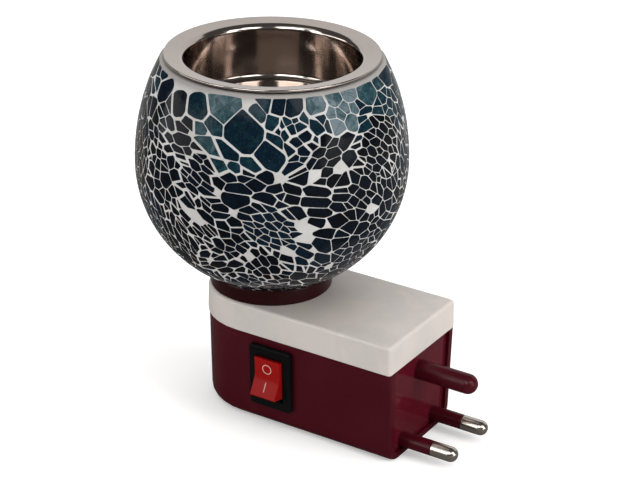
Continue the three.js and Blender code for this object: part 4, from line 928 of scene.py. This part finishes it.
def raise_shard(bm, seed, tone):
    wide = math.sqrt(bm.faces[:][0].calc_area())
    nip = min(0.45, 0.06 * wide + 0.02)
    bevel(bm, bm.verts[:], nip, 1, "VERTICES", clamp=True)
    split_long_edges(bm)
    slope = chance.normal(0, 0.015, 3)

    def settle(verts, depth):
        for vert in verts:
            sink = max(0.0, SPARE + float(slope @ (np.array(vert.co) - seed)))
            vert.co = at_depth(vert.co, depth + min(sink, DEEPEST))

    settle(bm.verts, SHARD_FOOT)
    raised = bmesh.ops.extrude_face_region(bm, geom=bm.faces[:], use_keep_orig=True)["geom"]
    top = next(part for part in raised if isinstance(part, bmesh.types.BMFace))
    settle(top.verts, SHARD_TOP + CHAMFER_DEPTH)
    ring_inside(bm, top, lambda arm: max(0.5, 1 - CHAMFER_WIDTH / max(arm, 0.01)))
    settle(top.verts, SHARD_TOP)
    for left in range(int(wide / LONGEST_EDGE), 0, -1):
        ring_inside(bm, top, lambda arm: left / (left + 1))
        settle(top.verts, SHARD_TOP)
    settle(bmesh.ops.poke(bm, faces=[top])["verts"], SHARD_TOP)
    bmesh.ops.recalc_face_normals(bm, faces=bm.faces)
    layer = bm.faces.layers.float.new("tone")
    for face in bm.faces:
        face[layer] = min(1.0, max(0.0, tone))


def is_bare(seed):
    return any(
        np.linalg.norm(seed - on_globe(math.radians(angle), z)) < radius for angle, z, radius in BARE_PATCHES
    )


# %% Lay the mosaic
def pour(bm, into):
    """Adds one bmesh to another, and frees it."""
    part = bpy.data.meshes.new("part")
    bm.to_mesh(part)
    bm.free()
    into.from_mesh(part, face_normals=False, vertex_normals=False)
    bpy.data.meshes.remove(part)


def make_mosaic():
    globe, count = bmesh.new(), 0
    for tile in range(len(tiles)):
        whole = bmesh.new()
        for number, shard in enumerate(shards):
            if shard["tile"] != tile or is_bare(shard["seed"]):
                continue
            bm = cut_shard(number)
            if bm.faces and bm.faces[:][0].calc_area() > SMALLEST:
                raise_shard(bm, shard["seed"], shard["tone"])
                pour(bm, whole)
                count += 1
            else:
                bm.free()
        pour(whole, globe)
    print(count, "shards laid")
    return globe


add_piece("shards", make_mosaic(), mosaic_glass, "base", ["mosaic_skin"], sharp=24)

# %% [markdown]
# ## Collar
#
# The collar is a plain turned ring of the same maroon plastic, painted darker as painted shade from the globe
# above it. Its hidden recess for the lamp holder is kept.

# %% Collar
collar_section = rounded([
    (13.0, 40.3, 0), (19.1, 40.3, 0.2), (19.1, 45.4, 0.8), (12.1, 45.4, 0.2), (12.1, 42.8, 0),
    (13.0, 42.8, 0),
], closed=True)
collar = turned(collar_section, 96, closed=True)
add_piece("collar", collar, shaded_collar_maroon, "base", ["globe_collar"])

# %% [markdown]
# ## Moulded pieces from the CAD
#
# The box, the lid and the switch already have their real shape in the CAD. A copy of such a node is made of
# loose triangles, so its doubles are merged and flat faces joined, and then its sharp outer edges are
# broken by a fine round, because no moulded edge is perfectly sharp.

# %% Finished copies of CAD nodes
def copy_of(node, edge=0.0, steps=2, keep=lambda edge: True):
    """A bmesh in millimetres of a CAD node, with its sharp edges rounded where keep allows it."""
    bm = bmesh.new()
    bm.from_mesh(nodes[node].data)
    bmesh.ops.scale(bm, vec=(1 / MM,) * 3, verts=bm.verts)
    bmesh.ops.remove_doubles(bm, verts=bm.verts, dist=1e-3)
    bmesh.ops.dissolve_limit(bm, angle_limit=math.radians(0.4), verts=bm.verts, edges=bm.edges)
    if edge:
        corners = [
            e for e in bm.edges
            if e.is_manifold and e.calc_face_angle_signed() > math.radians(38) and keep(e)
        ]
        bevel(bm, corners, edge, steps, clamp=True)
    return bm


LID_THICKNESS = 9.3
LID_FOOT_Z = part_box("top_cover")[1].z / MM - LID_THICKNESS


def upright(edge):
    """True for the lid's own corners, which stand upright."""
    low, high = sorted(vert.co.z for vert in edge.verts)
    return low > LID_FOOT_Z - 0.5 and high - low > 4


add_piece("tub", copy_of("housing", 0.15), maroon, "base", ["housing"], sharp=36)
lid = copy_of("top_cover", 0.5, 3, keep=upright)
add_piece("lid", lid, marble, "base", ["top_cover"], sharp=36)
add_piece("switch_frame", copy_of("switch_body", 0.12), black, "base", ["switch_body"])

# %% [markdown]
# ## Plug plate, sleeves and earth pin
#
# One maroon moulding holds the plug pins. The plate is a rounded board; the two sleeves and the plastic
# earth pin are turned about the X axis. They start inside the plate, as they would in one moulding.

# %% Plate and pins
PIN_Y, PIN_Z, EARTH_Z = 9.525, 4.6, 24.4
PLATE_FRONT, PLATE_BACK, SLEEVE_END = 54.3, 52.1, 65.15


def thicken(bm, width):
    """Turns a flat outline into a board that reaches a width further along X."""
    out = bmesh.ops.extrude_face_region(bm, geom=bm.faces[:], use_keep_orig=True)["geom"]
    far = [v for v in out if isinstance(v, bmesh.types.BMVert)]
    bmesh.ops.translate(bm, verts=far, vec=(width, 0, 0))
    bmesh.ops.recalc_face_normals(bm, faces=bm.faces)


def plate_board():
    low, high = (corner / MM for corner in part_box("pin_plate"))
    wide, narrow = high.y, high.y - 1.25
    bm = bmesh.new()
    corners = [(-wide, 30.65), (wide, 30.65), (narrow, 1.15), (-narrow, 1.15)]
    verts = [bm.verts.new((PLATE_BACK, y, z)) for y, z in corners]
    bm.faces.new(verts)
    bevel(bm, verts[2:], 2.6, 6, "VERTICES")
    thicken(bm, PLATE_FRONT - PLATE_BACK)
    rim = [e for e in bm.edges if all(abs(v.co.x - PLATE_FRONT) < 0.01 for v in e.verts)]
    bevel(bm, rim, 0.2, 2)
    return bm


def stick(section, y, z, closed=False):
    bm = turned(rounded(section, closed), 48, closed, along_x=True)
    bmesh.ops.translate(bm, verts=bm.verts, vec=(0, y, z))
    return bm


add_piece("plug_plate", plate_board(), polished_lit_maroon, "base", ["pin_plate"])
earth = [(0, 53.2, 0), (3.15, 53.2, 0), (3.15, 74.2, 3.1), (0, 74.2, 0)]
add_piece("earth_pin", stick(earth, 0, EARTH_Z), maroon, "base", ["pin_plate"])
sleeve = [(1.9, 52.3, 0), (2.4, 52.3, 0), (2.4, SLEEVE_END, 0.15), (1.9, SLEEVE_END, 0.1)]
bare_pin = [
    (0, 50.4, 0), (2.2, 50.4, 0.2), (2.2, 51.8, 0.2), (1.6, 51.8, 0), (1.6, 65.3, 0), (2.4, 65.3, 0.2),
    (2.4, 73.7, 2.35), (0, 73.7, 0),
]
for side, name, node in ((-1, "live", "live_pin"), (1, "neutral", "neutral_pin")):
    sleeve_mesh = stick(sleeve, side * PIN_Y, PIN_Z, closed=True)
    add_piece(name + "_sleeve", sleeve_mesh, maroon, "base", ["pin_plate"])
    pin_mesh = stick(bare_pin, side * PIN_Y, PIN_Z)
    add_piece(name + "_metal_pin", pin_mesh, nickel, "base", [node])

# %% [markdown]
# ## Rocker
#
# The red button is a solid rocker with a hollow face: seen from the side, both ends stand higher than the
# middle. Its side outline is drawn about its pivot, pushed out to its width, and its edges are rounded. The
# marks for on and off are printed, so they stand almost flush with the face.

# %% Rocker button
WALL_LEAN, ROCKER_TILT = 2.417, 14
ROCKER_PLACE = (
    Matrix.Translation((13, -18.1021, 17.838))
    @ Matrix.Rotation(math.radians(WALL_LEAN - ROCKER_TILT), 4, "X")
)
ROCKER_HALF_WIDTH, ROCKER_END, ROCKER_MIDDLE = 4.6, 6.2, 4.14
ROCKER_LEAN, ROCKER_BEND = math.tan(math.radians(16)), 0.8


def face_rise(z):
    """How far the hollow face stands out at a height, from the pivot: two leaning halves with a soft bend."""
    return ROCKER_MIDDLE + ROCKER_LEAN * (math.hypot(z, ROCKER_BEND) - ROCKER_BEND)


def rocker_body():
    face = [(-face_rise(z), z) for z in np.linspace(-ROCKER_END, ROCKER_END, 17)]
    heel = [(-1.2, 6.2), (1.4, 4.2), (3.4, 2.5), (3.4, -2.5), (1.4, -4.2), (-1.2, -6.2)]
    bm = bmesh.new()
    verts = [bm.verts.new((-ROCKER_HALF_WIDTH, y, z)) for y, z in face + heel]
    bm.faces.new(verts)
    thicken(bm, 2 * ROCKER_HALF_WIDTH)
    outer = [
        e for e in bm.edges
        if e.calc_face_angle_signed() > math.radians(50) and all(v.co.y < -1.5 for v in e.verts)
    ]
    bevel(bm, outer, 0.3, 3)
    bmesh.ops.transform(bm, matrix=ROCKER_PLACE, verts=bm.verts)
    return bm


def rocker_mark(shape, z):
    """Lays a mark, made flat round the Y axis, on the rocker's face at a height."""
    slope = math.atan(ROCKER_LEAN * z / math.hypot(z, ROCKER_BEND))
    lay = ROCKER_PLACE @ Matrix.Translation((0, -face_rise(z), z)) @ Matrix.Rotation(slope, 4, "X")
    bmesh.ops.transform(shape, matrix=lay, verts=shape.verts)
    return shape


def ring_mark():
    section = [(1.38, -0.03, 0.02), (1.66, -0.03, 0.02), (1.66, 0.08, 0), (1.38, 0.08, 0)]
    ring = turned(rounded(section, closed=True), 48, closed=True)
    bmesh.ops.rotate(ring, verts=ring.verts, cent=(0, 0, 0), matrix=Matrix.Rotation(-math.pi / 2, 3, "X"))
    return rocker_mark(ring, 2.95)


def bar_mark():
    bar = bmesh.new()
    bmesh.ops.create_cube(bar, size=1)
    bmesh.ops.scale(bar, vec=(0.3, 0.1, 3.1), verts=bar.verts)
    bevel(bar, bar.edges[:], 0.02, 1)
    return rocker_mark(bar, -2.9)


add_piece("rocker_cap", rocker_body(), red, "rocker_button", ["rocker"], sharp=40)
add_piece("off_mark", ring_mark(), paint, "rocker_button")
add_piece("on_mark", bar_mark(), paint, "rocker_button")

# %% [markdown]
# ## Bulb
#
# The bulb is seen when the cup is out. Its envelope is a thin shell with a short neck, spun from one closed
# half section.

# %% Bulb envelope
BULB_RADIUS, BULB_CENTRE_Z, BULB_NECK, BULB_WALL = 11, 74.0, 6.2, 0.8


def bulb_line(depth):
    """Half section of the bulb's outside, or of a surface at a depth inside it."""
    head, neck = BULB_RADIUS - depth, BULB_NECK - depth
    arc = [
        (head * math.cos(a), BULB_CENTRE_Z + head * math.sin(a))
        for a in np.linspace(math.radians(-38), math.pi / 2, 26)
    ]
    return [(neck, 53.1), (neck, 58.0), (neck + 0.35, 60.0)] + arc[:-1] + [(0, arc[-1][1])]


bulb = turned(bulb_line(0) + bulb_line(BULB_WALL)[::-1], 64, closed=True)
add_piece("bulb_envelope", bulb, bulb_glass, "bulb", ["bulb_glass"])

# %% [markdown]
# ## Finishes for the pieces kept from the CAD
#
# The parts inside keep their CAD meshes. Each gets the finish of its real material.

# %% Finish the kept nodes
KEPT = {
    zinc: ["cover_screw_1", "cover_screw_2", "collar_screw_1", "collar_screw_2", "collar_screw_3"],
    silicone: ["globe_gasket"],
    porcelain: ["lamp_holder"],
    brass: ["holder_shell", "holder_contact", "contact_lever", "terminal_centre", "terminal_end"],
    cap_metal: ["bulb_cap"],
    bulb_glass: ["bulb_stem"],
    white_plastic: ["rocker_plunger"],
    brown_wire: ["wire_live", "wire_switched"],
    blue_wire: ["wire_neutral"],
}
for material, names in KEPT.items():
    for name in names:
        nodes[name].data.materials.clear()
        nodes[name].data.materials.append(material)
print(sum(len(names) for names in KEPT.values()), "nodes kept from the CAD")
